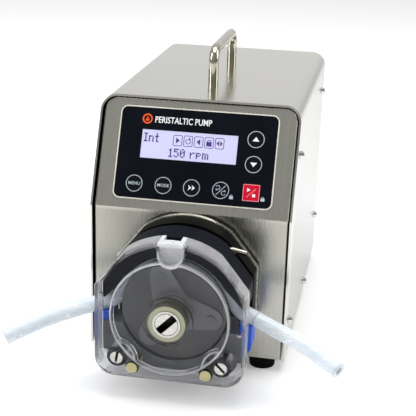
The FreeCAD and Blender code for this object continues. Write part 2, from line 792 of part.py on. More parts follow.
def make_rear_fittings():
    """Mains inlet with a fuse drawer, a power switch and a signal socket."""
    outer = "-case_depth + 1"
    inlet = new_body("inlet_body")
    face = rectangle("inlet_x - 24", "inlet_z - 14", "inlet_x + 24", "inlet_z + 32")
    pad(inlet, "XZ_Plane", [face], "-case_depth - 2", outer)
    dress("Fillet", inlet, "3", lambda edge: is_upright(edge, "y"))
    shell = rectangle("inlet_x - 13.4", "inlet_z - 9.8", "inlet_x + 13.4", "inlet_z + 27.8")
    pad(inlet, "XZ_Plane", [shell], outer, "-case_depth + 30")
    mouth = polygon(
        ("inlet_x - 12", "inlet_z - 8.25"),
        ("inlet_x + 12", "inlet_z - 8.25"),
        ("inlet_x + 12", "inlet_z + 3.5"),
        ("inlet_x + 7", "inlet_z + 8.25"),
        ("inlet_x - 7", "inlet_z + 8.25"),
        ("inlet_x - 12", "inlet_z + 3.5"),
    )
    pocket(inlet, "XZ_Plane", [mouth], "-case_depth - 3", "-case_depth + 14")
    drawer_hole = rectangle("inlet_x - 11", "inlet_z + 12", "inlet_x + 11", "inlet_z + 26")
    pocket(inlet, "XZ_Plane", [drawer_hole], "-case_depth - 3", "-case_depth + 22")
    bolts = [circle(f"inlet_x + {20 * side}", "inlet_z + 9", "1.7") for side in (-1, 1)]
    pocket(inlet, "XZ_Plane", bolts, "-case_depth - 3", outer)
    keep(inlet, "power_inlet")
    pins = [
        box(
            f"inlet_pin_{i}",
            ("2", "12", "4"),
            (f"inlet_x + {x} - 1", f"{REAR} - 14", f"inlet_z + {z} - 2"),
        )
        for i, (x, z) in enumerate(((-7, -1.5), (0, 2.5), (7, -1.5)))
    ]
    keep(group("inlet_pin_group", pins), "inlet_pins")
    drawer = new_body("drawer_body")
    snug = rectangle("inlet_x - 10.9", "inlet_z + 12.1", "inlet_x + 10.9", "inlet_z + 25.9")
    pad(drawer, "XZ_Plane", [snug], "-case_depth - 2", "-case_depth + 20")
    grip = rectangle("inlet_x - 3", "inlet_z + 22", "inlet_x + 3", "inlet_z + 26")
    pocket(drawer, "XZ_Plane", [grip], "-case_depth - 3", "-case_depth")
    keep(drawer, "fuse_drawer")

    frame = new_body("switch_body")
    rim = rectangle("switch_x - 12", "switch_z - 7.5", "switch_x + 12", "switch_z + 7.5")
    pad(frame, "XZ_Plane", [rim], "-case_depth - 1", outer)
    box_part = rectangle("switch_x - 9.8", "switch_z - 5.8", "switch_x + 9.8", "switch_z + 5.8")
    pad(frame, "XZ_Plane", [box_part], outer, "-case_depth + 18")
    well = rectangle("switch_x - 8.8", "switch_z - 4.8", "switch_x + 8.8", "switch_z + 4.8")
    pocket(frame, "XZ_Plane", [well], "-case_depth - 2", "-case_depth + 10")
    hinge = ("switch_x", f"{REAR} - 2", "switch_z - 5.2")
    socket = rod("rocker_socket", "1.25", "10.4", hinge)
    keep(cut("switch_cut", frame, [socket]), "switch_frame")
    rocker = new_body("rocker_body")
    step = rocker.newObject("PartDesign::Pad", "rocker_pad")
    wing = polygon(
        ("-7.8", "0"),
        ("-5", "-3"),
        ("5", "-3"),
        ("7.8", "0"),
        ("7.8", "3.6"),
        ("0", "2.5"),
        ("-7.8", "3.6"),
    )
    step.Profile = draw_on(rocker, "XY_Plane", [wing], "-4.5")
    bind(step, Length="9")
    rocker.Placement = FreeCAD.Placement(Vector(), FreeCAD.Rotation(Z_AXIS, ROCKER_TILT))
    bind(rocker, Placement__Base__x="switch_x", Placement__Base__y=f"{REAR} - 2")
    bind(rocker, Placement__Base__z="switch_z")
    doc.recompute()
    hinge = ("switch_x", f"{REAR} - 2", "switch_z - 5.1")
    pin_rod = rod("rocker_pin", "1.2", "10.2", hinge)
    keep(fuse("rocker_whole", [rocker, pin_rod]), "power_rocker")

    signal = new_body("signal_body")
    shell_face = rectangle("signal_x - 20", "signal_z - 6.2", "signal_x + 20", "signal_z + 6.2")
    pad(signal, "XZ_Plane", [shell_face], "-case_depth", outer)
    pad(signal, "XZ_Plane", [d_shape("13.5", "5")], "-case_depth - 3", "-case_depth + 12")
    rows = [((i - 3.5) * 2.8, 1.4) for i in range(8)] + [((i - 3) * 2.8, -1.4) for i in range(7)]
    sockets = [circle(f"signal_x + {x}", f"signal_z + {z}", "0.55") for x, z in rows]
    pocket(signal, "XZ_Plane", sockets, "-case_depth - 4", "-case_depth")
    keep(signal, "signal_connector")
    screws = []
    for x in ("inlet_x - 20", "inlet_x + 20"):
        at = (x, f"{REAR} + 2", "inlet_z + 9")
        screws.append(pan_screw(f"rear_screw_{len(screws)}", "2.8", "1.2", "1.6", "8", at, "Y", 1))
    for x in ("signal_x - 16.7", "signal_x + 16.7"):
        at = (x, f"{REAR}", "signal_z")
        post = rod(f"rear_screw_{len(screws)}", "2.4", "rear_reach", at, "Y")
        thread = rod(f"rear_thread_{len(screws)}", "1.2", "3", (x, f"{REAR} + 1", "signal_z"), "Y")
        screws.append(cut(f"rear_post_{len(screws)}", post, [thread]))
    keep(group("rear_screw_group", screws), "rear_screws")


def d_shape(half, rise):
    """The five-sided outline of the signal socket, wider at the top."""
    return polygon(
        (f"signal_x - {half} + 1.6", f"signal_z - {rise}"),
        (f"signal_x + {half} - 1.6", f"signal_z - {rise}"),
        (f"signal_x + {half}", f"signal_z + {rise}"),
        (f"signal_x - {half}", f"signal_z + {rise}"),
    )


def is_upright(edge, axis):
    """Whether a straight edge runs along the axis."""
    ends = [vertex.Point for vertex in edge.Vertexes]
    if len(ends) != 2 or not isinstance(edge.Curve, Part.Line):
        return False
    run = ends[1] - ends[0]
    return abs(abs(getattr(run, axis)) - run.Length) < 1e-6


# ---------------------------------------------------------------- inside the case


def make_internals():
    behind = f"{FRONT} + panel_recess + sheet_gauge"
    plate = box("mount_block", ("80", "8", "80"), ("-40", behind, "axis_height - 40"))
    bore = rod("mount_bore", "13", "10", ("0", f"{behind} - 1", "axis_height"), "Y")
    keep(cut("mount_cut", plate, [bore]), "motor_mount")
    flange_at = f"{behind} + 8"
    flange = box("motor_flange", ("57", "5", "57"), ("-28.5", flange_at, "axis_height - 28.5"))
    can = rod("motor_can", "28", "75", ("0", f"{flange_at} + 5", "axis_height"), "Y")
    shaft_way = rod("motor_way", "5.5", "60", ("0", f"{flange_at} - 1", "axis_height"), "Y")
    corners = [(x, z) for x in (-23.6, 23.6) for z in (-23.6, 23.6)]
    clear = [
        rod(f"motor_ear_{i}", "2.5", "7", (f"{x}", f"{flange_at} - 1", f"axis_height + {z}"), "Y")
        for i, (x, z) in enumerate(corners)
    ]
    motor = fuse("motor_blank", [flange, can])
    keep(cut("motor_cut", motor, [shaft_way] + clear), "motor_body")
    screws = []
    for i, (x, z) in enumerate(corners):
        at = (f"{x}", f"{flange_at} + 5", f"axis_height + {z}")
        head = rod(f"motor_screw_head_{i}", "4", "4", at, "Y")
        stem = rod(f"motor_screw_stem_{i}", "2.4", "5", (at[0], flange_at, at[2]), "Y")
        screws.append(fuse(f"motor_screw_{i}", [head, stem]))
    keep(group("motor_screw_group", screws), "motor_screws")

    base = f"{FLOOR} + sheet_gauge"
    supply = box("supply_case", ("98", "60", "40"), ("-49", f"{FRONT} + 150", f"{base} + 4"))
    terminals = box("supply_strip", ("60", "12", "8"), ("-30", f"{FRONT} + 210", f"{base} + 8"))
    keep(fuse("supply_whole", [supply, terminals]), "power_supply")
    board = box("control_sheet", ("90", "120", "1.6"), ("-45", f"{FRONT} + 106", f"{FLOOR} + 118"))
    chips = [
        box(f"control_chip_{i}", size, (x, f"{FRONT} + {y}", f"{FLOOR} + 119.6"))
        for i, (size, x, y) in enumerate(
            (
                (("16", "16", "2"), "-30", 130),
                (("12", "20", "3"), "10", 150),
                (("24", "14", "10"), "-36", 190),
                (("14", "14", "18"), "16", 195),
            )
        )
    ]
    keep(fuse("control_whole", [board] + chips), "control_board")
    posts = [
        rod(f"standoff_{i}", "3", "118 - 45.5", (x, f"{FRONT} + {y}", f"{base} + 44"))
        for i, (x, y) in enumerate((("-41", 154), ("41", 154), ("-41", 205), ("41", 205)))
    ]
    posts += [
        rod(f"low_standoff_{i}", "3", "4", (x, f"{FRONT} + {y}", base))
        for i, (x, y) in enumerate((("-41", 154), ("41", 154), ("-41", 205), ("41", 205)))
    ]
    keep(group("standoff_group", posts), "board_standoffs")


# ---------------------------------------------------------------- tube

# The tube's free ends, from the keepers outwards: each point is to the right, behind the
# case's front edge and above the case's floor.
TAIL_ROUTES = {
    "tube_tail_left": (
        (-58.4, -42, 54.1),
        (-74.4, -47.8, 49.6),
        (-90.2, -54.6, 44.7),
        (-104.5, -62.2, 39.4),
        (-119.5, -72.2, 33.1),
    ),
    "tube_tail_right": (
        (58.4, -42, 54.1),
        (74.4, -47.8, 49.6),
        (90.5, -54.6, 45.8),
        (105.5, -62.4, 41.4),
        (121, -72.4, 36),
    ),
}


def tail_points(label):
    """A tail's points in the pump's own frame."""
    front, floor = value(FRONT), value(FLOOR)
    return [Vector(x, y + front, z + floor) for x, y, z in TAIL_ROUTES[label]]


def exit_of(label):
    """Where a tail's line crosses the middle plane of the rollers, and its direction."""
    points = tail_points(label)
    way = (points[1] - points[0]).normalize()
    back = (value(ahead("tube_ahead")) - points[0].y) / way.y
    return points[0] + way * back, way


# ---------------------------------------------------------------- pump head

AXIS = ("0", "axis_height")


def head_outline(grow, low, corner=None):
    """The head's outline seen from the front, moved out by grow. low is its lower edge
    and corner the radius of its lower corners."""
    side = f"(head_half + {grow})"
    shoulder = f"(axis_height + shoulder + ({grow}) * 0.348)"
    crown = f"(crown_half + ({grow}) * 0.7)"
    crown_z = f"(axis_height + sqrt((crown_radius + {grow}) ^ 2 - {crown} ^ 2))"
    upper = [
        (side, shoulder),
        (crown, crown_z),
        (f"-{crown}", crown_z),
        (f"-{side}", shoulder),
    ]
    if corner is None:
        return polygon((f"-{side}", low), (side, low), *upper, arcs={3: (AXIS, True)})
    inner, lift = f"({side} - ({corner}))", f"({low} + {corner})"
    return polygon(
        (f"-{inner}", low),
        (inner, low),
        (side, lift),
        *upper,
        (f"-{side}", lift),
        arcs={
            1: ((inner, lift), True),
            4: (AXIS, True),
            7: ((f"-{inner}", lift), True),
        },
    )


def ahead(distance):
    """The Y of a place this far ahead of the case's front edge."""
    return f"{FRONT} - ({distance})"


SCREW_SPOT = (38, -34)  # the cover's screws, to each side and above the axis
DOWEL_SPOT = (27, -41.3)


def beside(spot, radius):
    """A circle at this spot on each side of the axis."""
    x, z = spot
    return [circle(f"{side * x}", f"(axis_height + {z})", radius) for side in (-1, 1)]


def make_back():
    flange = new_body("flange_body")
    rings = [circle(*AXIS, "38"), circle(*AXIS, "13")]
    pad(flange, "XZ_Plane", rings, "-panel_recess", "plate_back")
    keep(flange, "head_flange")
    plate = new_body("plate_body")
    outline = head_outline("0.8", "axis_height - 15")
    pad(plate, "XZ_Plane", [outline, circle(*AXIS, "13")], "plate_back", "body_back")
    keep(plate, "back_plate")


def make_head_body():
    body = new_body("head_body_body")
    outline = head_outline("0", "axis_height - 22")
    pad(body, "XZ_Plane", [outline, circle(*AXIS, "8.2")], "body_back", "groove_back")
    hub = [circle(*AXIS, "17"), circle(*AXIS, "8.2")]
    pad(body, "XZ_Plane", hub, "groove_back", "groove_front")
    pocket(body, "XZ_Plane", [circle(*AXIS, "14")], "groove_front - 9", "groove_front + 1")
    keep(body, "head_body")
    bearing = new_body("bearing_body")
    rings = [circle(*AXIS, "14"), circle(*AXIS, "shaft_radius - 1")]
    pad(bearing, "XZ_Plane", rings, "groove_front - 9", "groove_front - 1")
    for low in ("groove_front - 9.5", "groove_front - 1.8"):
        track = [circle(*AXIS, "11.8"), circle(*AXIS, "8.6")]
        pocket(bearing, "XZ_Plane", track, low, f"{low} + 1.3")
    keep(bearing, "rear_bearing")


def make_lower_block():
    """The grey lower half of the head, with the round chamber that the rotor turns in."""
    body = new_body("block_body")
    low, split, top = "(axis_height + block_low)", "(axis_height - 22.3)", "(axis_height - 13.5)"
    corner, inner = "12", "(block_half - 12)"
    base = polygon(
        (f"-{inner}", low),
        (inner, low),
        ("block_half", f"{low} + {corner}"),
        ("block_half", split),
        ("-block_half", split),
        ("-block_half", f"{low} + {corner}"),
        arcs={
            1: ((inner, f"{low} + {corner}"), True),
            5: ((f"-{inner}", f"{low} + {corner}"), True),
        },
    )
    pad(body, "XZ_Plane", [base], "body_back", "jaw_front")
    walls = rectangle("-block_half", split, "block_half", top)
    pad(body, "XZ_Plane", [walls], "groove_back + 0.4", "jaw_front")
    chamber = [circle(*AXIS, "chamber_radius")]
    pocket(body, "XZ_Plane", chamber, "groove_back + 0.4", "jaw_front + 1")
    for left, right in (("block_half", "52.5"), ("-52.5", "-block_half")):
        ear = rectangle(left, "axis_height - 36", right, top)
        pad(body, "XZ_Plane", [ear], "jaw_front - 2", "jaw_front")
    holes = beside(SCREW_SPOT, "2") + beside(DOWEL_SPOT, "3")
    pocket(body, "XZ_Plane", holes, "jaw_front - 12", "jaw_front + 1")
    posts = [
        rod(f"post_hole_{i}", "2", "12", (x, ahead("27.6"), f"{top} - 10"))
        for i, x in enumerate(("-44.5", "44.5"))
    ]
    keep(cut("block_cut", body, posts), "lower_block")
    pins = [
        rod(f"guide_post_{i}", "2", "43.5", (x, ahead("27.6"), f"{top} - 10"))
        for i, x in enumerate(("-44.5", "44.5"))
    ]
    keep(group("guide_post_group", pins), "guide_posts")


def make_jaw():
    """The black upper jaw. Its round bed presses the tube onto the rollers."""
    body = new_body("jaw_body")
    outline = head_outline("0", "axis_height + 5.4")
    pad(body, "XZ_Plane", [outline], "groove_front + 0.2", "jaw_front")
    edge_x, edge_z = lobe_spot(30, "bed_radius")
    mouth_x, mouth_z = "56", "axis_height"
    bed = polygon(
        (f"-{mouth_x}", mouth_z),
        (mouth_x, mouth_z),
        (edge_x, edge_z),
        (f"-{edge_x}", edge_z),
        arcs={2: (AXIS, True)},
    )
    pocket(body, "XZ_Plane", [bed], "groove_front - 1", "jaw_front + 1")

    def outer_corner(edge):
        middle = edge.CenterOfMass
        rise = middle.z - value("axis_height")
        return is_upright(edge, "y") and rise > 10 and math.hypot(middle.x, rise) > 54

    dress("Fillet", body, "1", outer_corner)
    holes = [
        rod(f"jaw_bore_{i}", "2 + running_gap", "22", (x, ahead("27.6"), "axis_height"))
        for i, x in enumerate(("-44.5", "44.5"))
    ]
    keep(cut("jaw_cut", body, holes), "upper_jaw")


def make_lever():
    """A flat cam lever that turns on the head body's hub, and the pin that moves it."""
    body = new_body("lever_body")
    arm_out, arm_in = "50", "24"
    start, end = "40 deg", "82 deg"

    def spot(radius, angle):
        return f"({radius} * cos({angle}))", f"(axis_height + {radius} * sin({angle}))"

    arm = polygon(
        spot("20", start),
        spot(arm_out, start),
        spot(arm_out, end),
        spot("20", end),
        arcs={1: (AXIS, True), 3: (AXIS, False)},
    )
    rings = [circle(*AXIS, arm_in), circle(*AXIS, "17.3")]
    pad(body, "XZ_Plane", rings, "groove_back + 0.8", "groove_front - 0.8")
    pad(body, "XZ_Plane", [arm], "groove_back + 0.8", "groove_front - 0.8")
    middle = ahead("(groove_back + groove_front) / 2")
    tilt = FreeCAD.Rotation(Y_AXIS, 90 + 10.6)
    pieces = []
    for name, radius, length, x, z in (
        ("neck", "1.25", "16", "22", "42.7"),
        ("grip", "2", "11", "36.3", "40.02"),
        ("hole", "1.25", "16", "22", "42.7"),
    ):
        piece = rod(f"lever_pin_{name}", radius, length, (x, middle, f"axis_height + {z}"))
        piece.Placement = FreeCAD.Placement(Vector(), tilt)
        bind(
            piece,
            Placement__Base__x=x,
            Placement__Base__y=middle,
            Placement__Base__z=f"axis_height + {z}",
        )
        pieces.append(piece)
    keep(cut("lever_cut", body, [pieces[2]]), "cam_lever")
    keep(fuse("lever_pin_whole", pieces[:2]), "lever_pin")


def make_rotor():
    """The rotor: coupling, shaft, two three-lobed carriers, and the rollers on axles."""
    coupling = rod("coupling_front", "7.5", "16", ("0", ahead("10"), "axis_height"), "Y")
    tail = rod("coupling_tail", "5", "40", ("0", ahead("-6"), "axis_height"), "Y")
    slot = box("coupling_slot", ("16", "5.2", "3.2"), ("-8", ahead("10.1"), "axis_height - 1.6"))
    keep(cut("motor_shaft_cut", fuse("coupling", [coupling, tail]), [slot]), "motor_shaft")

    tang = box("shaft_tang", ("9", "5.2", "3"), ("-4.5", ahead("10.6"), "axis_height - 1.5"))
    journal = rod(
        "shaft_journal",
        "shaft_radius - 1 - running_gap",
        "15.2",
        ("0", ahead("25.7"), "axis_height"),
        "Y",
    )
    core = rod("shaft_core", "shaft_radius", "33", ("0", ahead("58.6"), "axis_height"), "Y")
    stub = rod("shaft_stub", "stub_radius", "16", ("0", ahead("head_reach"), "axis_height"), "Y")
    front = ahead("head_reach + 1")
    ring_out = rod("ring_out", "8.5", "1.9", ("0", front, "axis_height"), "Y")
    ring_in = rod("ring_in", "8.05", "3", ("0", ahead("head_reach + 1.5"), "axis_height"), "Y")
    groove = cut("ring_groove", ring_out, [ring_in])
    corner_x, corner_z = "-17.7 * sqrt(0.5)", "axis_height - 12.3 * sqrt(0.5)"
    blade = box("key_slot_box", ("5.4", "10", "30"), (corner_x, front, corner_z))
    blade.Placement = FreeCAD.Placement(Vector(), FreeCAD.Rotation(Y_AXIS, 45))
    slot_round = rod("key_slot_round", "8.1", "9.4", ("0", front, "axis_height"), "Y")
    key_slot = doc.addObject("Part::Common", "key_slot")
    key_slot.Base = blade
    key_slot.Tool = slot_round
    shaft = fuse("shaft_blank", [tang, journal, core, stub])
    keep(cut("rotor_shaft_cut", shaft, [groove, key_slot]), "rotor_shaft")


LOBES = (-9, 111, 231)


def lobe_spot(angle, radius="roller_circle"):
    return (
        f"({radius} * cos({angle} deg))",
        f"(axis_height + {radius} * sin({angle} deg))",
    )


def carrier_outline(lobe, waist):
    """Three round lobes joined by straight sides that pull in towards the hub."""
    corners, arcs = [], {}
    for angle in LOBES:
        cx, cz = lobe_spot(angle)
        for turn in (-80, 80):
            x = f"({cx} + {lobe} * cos({angle + turn} deg))"
            z = f"({cz} + {lobe} * sin({angle + turn} deg))"
            corners.append((x, z))
        arcs[len(corners) - 2] = ((cx, cz), True)
        corners.append(lobe_spot(angle + 60, waist))
    return polygon(*corners, arcs=arcs)


def make_carriers():
    outline = carrier_outline("8.3", "15")
    holes = [circle(*lobe_spot(angle), "2.5") for angle in LOBES]
    bore = circle(*AXIS, "shaft_radius")
    rear = new_body("rear_carrier_body")
    pad(rear, "XZ_Plane", [outline, bore] + holes, "groove_front + 0.8", "groove_front + 3.5")
    keep(rear, "rear_carrier")
    front = new_body("front_carrier_body")
    pad(front, "XZ_Plane", [circle(*AXIS, "38.6"), bore] + holes, "45.6", "47.6")
    pad(front, "XZ_Plane", [outline, bore] + holes, "47.6", "49.4")
    pad(front, "XZ_Plane", [circle(*AXIS, "14.5"), bore], "49.4", "54")
    pad(front, "XZ_Plane", [circle(*AXIS, "12.6"), bore], "54", "58.4")
    keep(front, "front_carrier")
    axles = []
    for angle in LOBES:
        x, z = lobe_spot(angle)
        stem = rod(f"axle_{len(axles)}", "2.5", "25", (x, ahead("50.4"), z), "Y")
        head = rod(f"axle_head_{len(axles)}", "3.4", "1", (x, ahead("50.4"), z), "Y")
        axles.append(fuse(f"axle_whole_{len(axles)}", [stem, head]))
    keep(group("axle_group", axles), "roller_axles")
    for i, angle in enumerate(LOBES, 1):
        roller = new_body(f"roller_{i}_body")
        x, z = lobe_spot(angle)
        rings = [circle(x, z, "roller_radius"), circle(x, z, "2.5 + running_gap")]
        pad(roller, "XZ_Plane", rings, "groove_front + 3.8", "45.3")
        dress("Fillet", roller, "0.8", lambda edge: edge.Length > 40)
        keep(roller, f"roller_{i}")


def scoop_outline(grow):
    """The thumb scoop at the top of the cover, moved out by grow."""
    half, rise = f"(8.5 + {grow})", "(axis_height + 48.5)"
    top = f"(axis_height + 54.2 + {grow})"
    return polygon(
        (f"-{half} - 2.2", top),
        (f"-{half}", rise),
        (half, rise),
        (f"{half} + 2.2", top),
        arcs={1: (("0", rise), True)},
    )


def make_cover():
    """The clear front cover: a skirt round the head, a domed window and a shaft boss."""
    body = new_body("cover_body")
    grow, corner, low = "cover_grow", "15", "(axis_height - 49)"
    face, inner_face = "cover_front", "(cover_front - cover_wall)"
    pad(body, "XZ_Plane", [head_outline(grow, low, corner)], "cover_back", face)

    def rim(edge):
        return all(abs(corner.Y + value(face)) < 0.01 for corner in edge.Vertexes)

    dress("Fillet", body, "1.4", rim)
    pad(body, "XZ_Plane", [window_outline("43", 13)], face, "cover_front + 2")

    def dome(edge):
        return all(abs(corner.Y + value(face) + 2) < 0.01 for corner in edge.Vertexes)

    dress("Fillet", body, "1.2", dome)
    pad(body, "XZ_Plane", [circle(*AXIS, "18")], face, "cover_front + 5.4")
    pad(body, "XZ_Plane", [circle(*AXIS, "15.6")], "cover_front + 5.4", "boss_front")
    inside = head_outline(
        f"({grow} - cover_wall)", f"({low} + cover_wall)", f"({corner} - cover_wall)"
    )
    pocket(body, "XZ_Plane", [inside], "cover_back - 1", inner_face)
    dished = window_outline("40.6", 15.4)
    pocket(body, "XZ_Plane", [dished], f"{inner_face} - 0.1", f"{face} - 0.4")
    for spot, radius in ((SCREW_SPOT, "7.6"), (DOWEL_SPOT, "5")):
        for foot in beside(spot, radius):
            pad(body, "XZ_Plane", [foot], "cover_back", "cover_front - 0.6")
    pad(body, "XZ_Plane", [scoop_outline("1.4")], "cover_front - 7.4", "cover_front - 0.6")
    pocket(body, "XZ_Plane", [scoop_outline("0")], "cover_front - 6", "cover_front + 3")
    bores = beside(SCREW_SPOT, "2.2") + beside(DOWEL_SPOT, "3.1")
    pocket(body, "XZ_Plane", bores, "cover_back - 1", "cover_front + 3")
    recesses = beside(SCREW_SPOT, "screw_reach + 0.4") + beside(DOWEL_SPOT, "4.3")
    pocket(body, "XZ_Plane", recesses, "cover_front - 3", "cover_front + 3")
    pocket(body, "XZ_Plane", [circle(*AXIS, "13.35")], "cover_front - 5", "boss_front + 1")
    notch = rectangle("-6", "axis_height + crown_radius - 3", "6", "axis_height + 70")
    pocket(body, "XZ_Plane", [notch], "cover_back - 1", "cover_back + 9")
    slots = [
        soft_rectangle("-51.6", "axis_height + 3", "-48", "axis_height + 15.5", "1.7"),
        soft_rectangle("48.2", "axis_height - 8", "51.8", "axis_height + 3.5", "1.2"),
    ]
    pocket(body, "XZ_Plane", slots, inner_face + " - 1", "cover_front + 1")
    keep(body, "front_cover")
    bush = new_body("bush_body")
    rings = [circle(*AXIS, "13.35"), circle(*AXIS, "stub_radius + running_gap")]
    pad(bush, "XZ_Plane", rings, "cover_front - 5", "boss_front + 0.4")
    keep(bush, "front_bush")


def window_outline(radius, notch):
    """The round window of the cover, notched round the two cover screws."""
    screw_x, screw_z = SCREW_SPOT
    reach = math.hypot(screw_x, screw_z)
    window = value(radius)
    along = (window**2 + reach**2 - notch**2) / (2 * reach)
    spread = math.degrees(math.acos(along / window))
    middle = math.degrees(math.atan2(-screw_z, screw_x))
    stops = [-middle + spread, 180 + middle - spread, 180 + middle + spread, -middle - spread]
    corners = [lobe_spot(angle, radius) for angle in stops]
    return polygon(
        *corners,
        arcs={
            0: (AXIS, True),
            1: ((f"-{screw_x}", f"(axis_height + {screw_z})"), False),
            2: (AXIS, True),
            3: ((f"{screw_x}", f"(axis_height + {screw_z})"), False),
        },
    )


def make_cover_fasteners():
    """Two slotted screws that hold the cover, and two plain pins that centre it."""
    screws, dowels = [], []
    for side, turn in ((-1, 80), (1, -45)):
        name = f"cover_screw_{side + 1}"
        x, z = f"{side * SCREW_SPOT[0]}", f"axis_height + {SCREW_SPOT[1]}"
        front = ahead("cover_front + 0.2")
        head = rod(name + "_head", "screw_reach", "3.2", (x, front, z), "Y")
        stem = rod(name + "_stem", "2", "24.6", (x, ahead("cover_front - 3"), z), "Y")
        slot = doc.addObject("Part::Box", name + "_slot")
        bind(slot, Length="14", Width="3.4", Height="1.9")
        slot.Placement = FreeCAD.Placement(Vector(-7, -1, -0.95), FreeCAD.Rotation())
        turned = group(name + "_turn", [slot])
        turned.Placement = FreeCAD.Placement(Vector(), FreeCAD.Rotation(Y_AXIS, -turn))
        bind(turned, Placement__Base__x=x, Placement__Base__y=front, Placement__Base__z=z)
        screws.append(cut(name, fuse(name + "_blank", [head, stem]), [turned]))
        name = f"dowel_{side + 1}"
        x, z = f"{side * DOWEL_SPOT[0]}", f"axis_height + {DOWEL_SPOT[1]}"
        cap = rod(name + "_head", "4", "2.6", (x, ahead("cover_front - 0.4"), z), "Y")
        stem = rod(name + "_stem", "3", "27", (x, ahead("cover_front - 1"), z), "Y")
        dowels.append(fuse(name, [cap, stem]))
    keep(group("cover_screw_group", screws), "cover_screws")
    keep(group("dowel_group", dowels), "dowel_pins")


def make_keepers():
    """The blue blocks that hold the tube at each side and slide down to free it."""
    for name, side, tail in (
        ("keeper_left", -1, "tube_tail_left"),
        ("keeper_right", 1, "tube_tail_right"),
    ):
        start, way = exit_of(tail)
        body = new_body(name + "_body")
        inner, outer = f"{side} * (block_half + 0.3)", f"{side} * 56.5"
        low, high = "(axis_height - 32)", "(axis_height - 6.8)"
        corners = [
            (inner, low),
            (f"{side} * 53", low),
            (outer, f"{low} + 7"),
            (outer, high),
            (inner, high),
        ]
        if side < 0:
            corners.reverse()
        pad(body, "XZ_Plane", [polygon(*corners)], "29.5", "jaw_front - 2.3")
        trough = doc.addObject("Part::Cylinder", name + "_trough")
        bind(trough, Radius="tube_radius + 0.3", Height="30")
        trough.Placement = FreeCAD.Placement(start, FreeCAD.Rotation(Z_AXIS, way))
        keep(cut(name + "_cut", body, [trough]), name)


def cord_wire(points):
    """Straight runs joined by tangent arcs, each as large as its two runs allow."""
    share = 0.45
    edges, start = [], points[0]
    radii = []
    for before, corner, after in zip(points, points[1:], points[2:]):
        run_in, run_out = corner - before, after - corner
        half_turn = run_in.getAngle(run_out) / 2
        setback = share * min(run_in.Length, run_out.Length)
        radii.append(setback / math.tan(half_turn))
        enter = corner - run_in.normalize() * setback
        leave = corner + run_out.normalize() * setback
        inward = (enter + leave) / 2 - corner
        gap = radii[-1] / math.cos(half_turn) - radii[-1]
        middle = corner + inward.normalize() * gap
        edges.append(Part.LineSegment(start, enter).toShape())
        edges.append(Part.Arc(enter, middle, leave).toShape())
        start = leave
    edges.append(Part.LineSegment(start, points[-1]).toShape())
    return Part.Wire(edges), radii


def make_tail(label):
    """One free end of the tube, from its keeper to its square-cut end."""
    points = tail_points(label)
    wire, radii = cord_wire(points)
    start = points[1] - points[0]
    ring = Part.Wire(Part.Circle(points[0], start, value("tube_radius")).toShape())
    tail = doc.addObject("Part::Feature", label + "_solid")
    tail.Shape = wire.makePipeShell([ring], True, False)
    section = math.pi * value("tube_radius") ** 2
    print(f"{label}: length {wire.Length:.1f}, radii {[round(radius) for radius in radii]}")
    print(f"volume over section times length {tail.Shape.Volume / section / wire.Length:.4f}")
    keep(tail, label)


NIP_CLEARANCE = 0.3
BEND_SETBACK = 4.8
# half thickness and half width of the tube as it opens out between a roller and the bend
OPENING = ((2, 7.7), (3, 6.9), (4, 6.2))
OPEN_RADIUS = 5.1


def flat_section(centre, outward, half_thick, half_wide):
    """A squeezed section of the tube: flat above and below, round at both edges."""
    depth = Vector(0, half_wide - half_thick, 0)
    low, high = centre - outward * half_thick, centre + outward * half_thick
    edge = Vector(0, half_wide, 0)
    return Part.Wire(
        [
            Part.LineSegment(low - depth, low + depth).toShape(),
            Part.Arc(low + depth, centre + edge, high + depth).toShape(),
            Part.LineSegment(high + depth, high - depth).toShape(),
            Part.Arc(high - depth, centre - edge, low - depth).toShape(),
        ]
    )


def make_head_tube():
    """The tube inside the head: round at both sides, flat where the rollers press it."""
    axis = Vector(0, value(ahead("tube_ahead")), value("axis_height"))
    middle = value("bed_radius") - NIP_CLEARANCE - OPENING[0][0]
    corner, way = exit_of("tube_tail_right")
    reach = corner - axis
    nip = math.acos(middle / reach.Length) + math.atan2(reach.z, reach.x)
    start = axis + Vector(math.cos(nip), 0, math.sin(nip)) * middle
    face = Part.Face(flat_section(start, (start - axis).normalize(), *OPENING[0]))
    turn = 180 - 2 * math.degrees(nip)
    pieces = [face.revolve(axis, Vector(0, -1, 0), turn)]
    swept = value("roller_circle + roller_radius") + NIP_CLEARANCE
    radius = value("tube_radius")
    for side, label in ((-1, "tube_tail_left"), (1, "tube_tail_right")):
        out = Vector(side * math.cos(nip), 0, math.sin(nip))
        nip_end = axis + out * middle
        corner, way = exit_of(label)
        down = (corner - nip_end).normalize()
        bend_start = corner - down * BEND_SETBACK
        sections = []
        for i, (half_thick, half_wide) in enumerate(OPENING):
            centre = nip_end + (bend_start - nip_end) * (i / len(OPENING)) - axis
            clear = max(centre.Length, swept + half_thick)
            centre = axis + centre.normalize() * clear
            sections.append(flat_section(centre, out, half_thick, half_wide))
        sections.append(Part.Wire(round_section(bend_start, out, OPEN_RADIUS)))
        pieces.append(Part.makeLoft(sections, True, True))
        bend_end = corner + way * BEND_SETBACK
        half_turn = down.getAngle(way) / 2
        bend_radius = BEND_SETBACK / math.tan(half_turn)
        inward = (bend_start + bend_end) / 2 - corner
        bulge = corner + inward.normalize() * bend_radius * (1 / math.cos(half_turn) - 1)
        path = Part.Wire(Part.Arc(bend_start, bulge, bend_end).toShape())
        rings = [
            Part.Wire(Part.Circle(bend_start, down, OPEN_RADIUS).toShape()),
            Part.Wire(Part.Circle(bend_end, way, radius).toShape()),
        ]
        pieces.append(path.makePipeShell(rings, True, False))
        run = tail_points(label)[0] - bend_end
        pieces.append(Part.makeCylinder(radius, run.Length, bend_end, run))
    tube = doc.addObject("Part::Feature", "head_tube_solid")
    tube.Shape = pieces[0].multiFuse(pieces[1:])
    keep(tube, "tube_in_head")


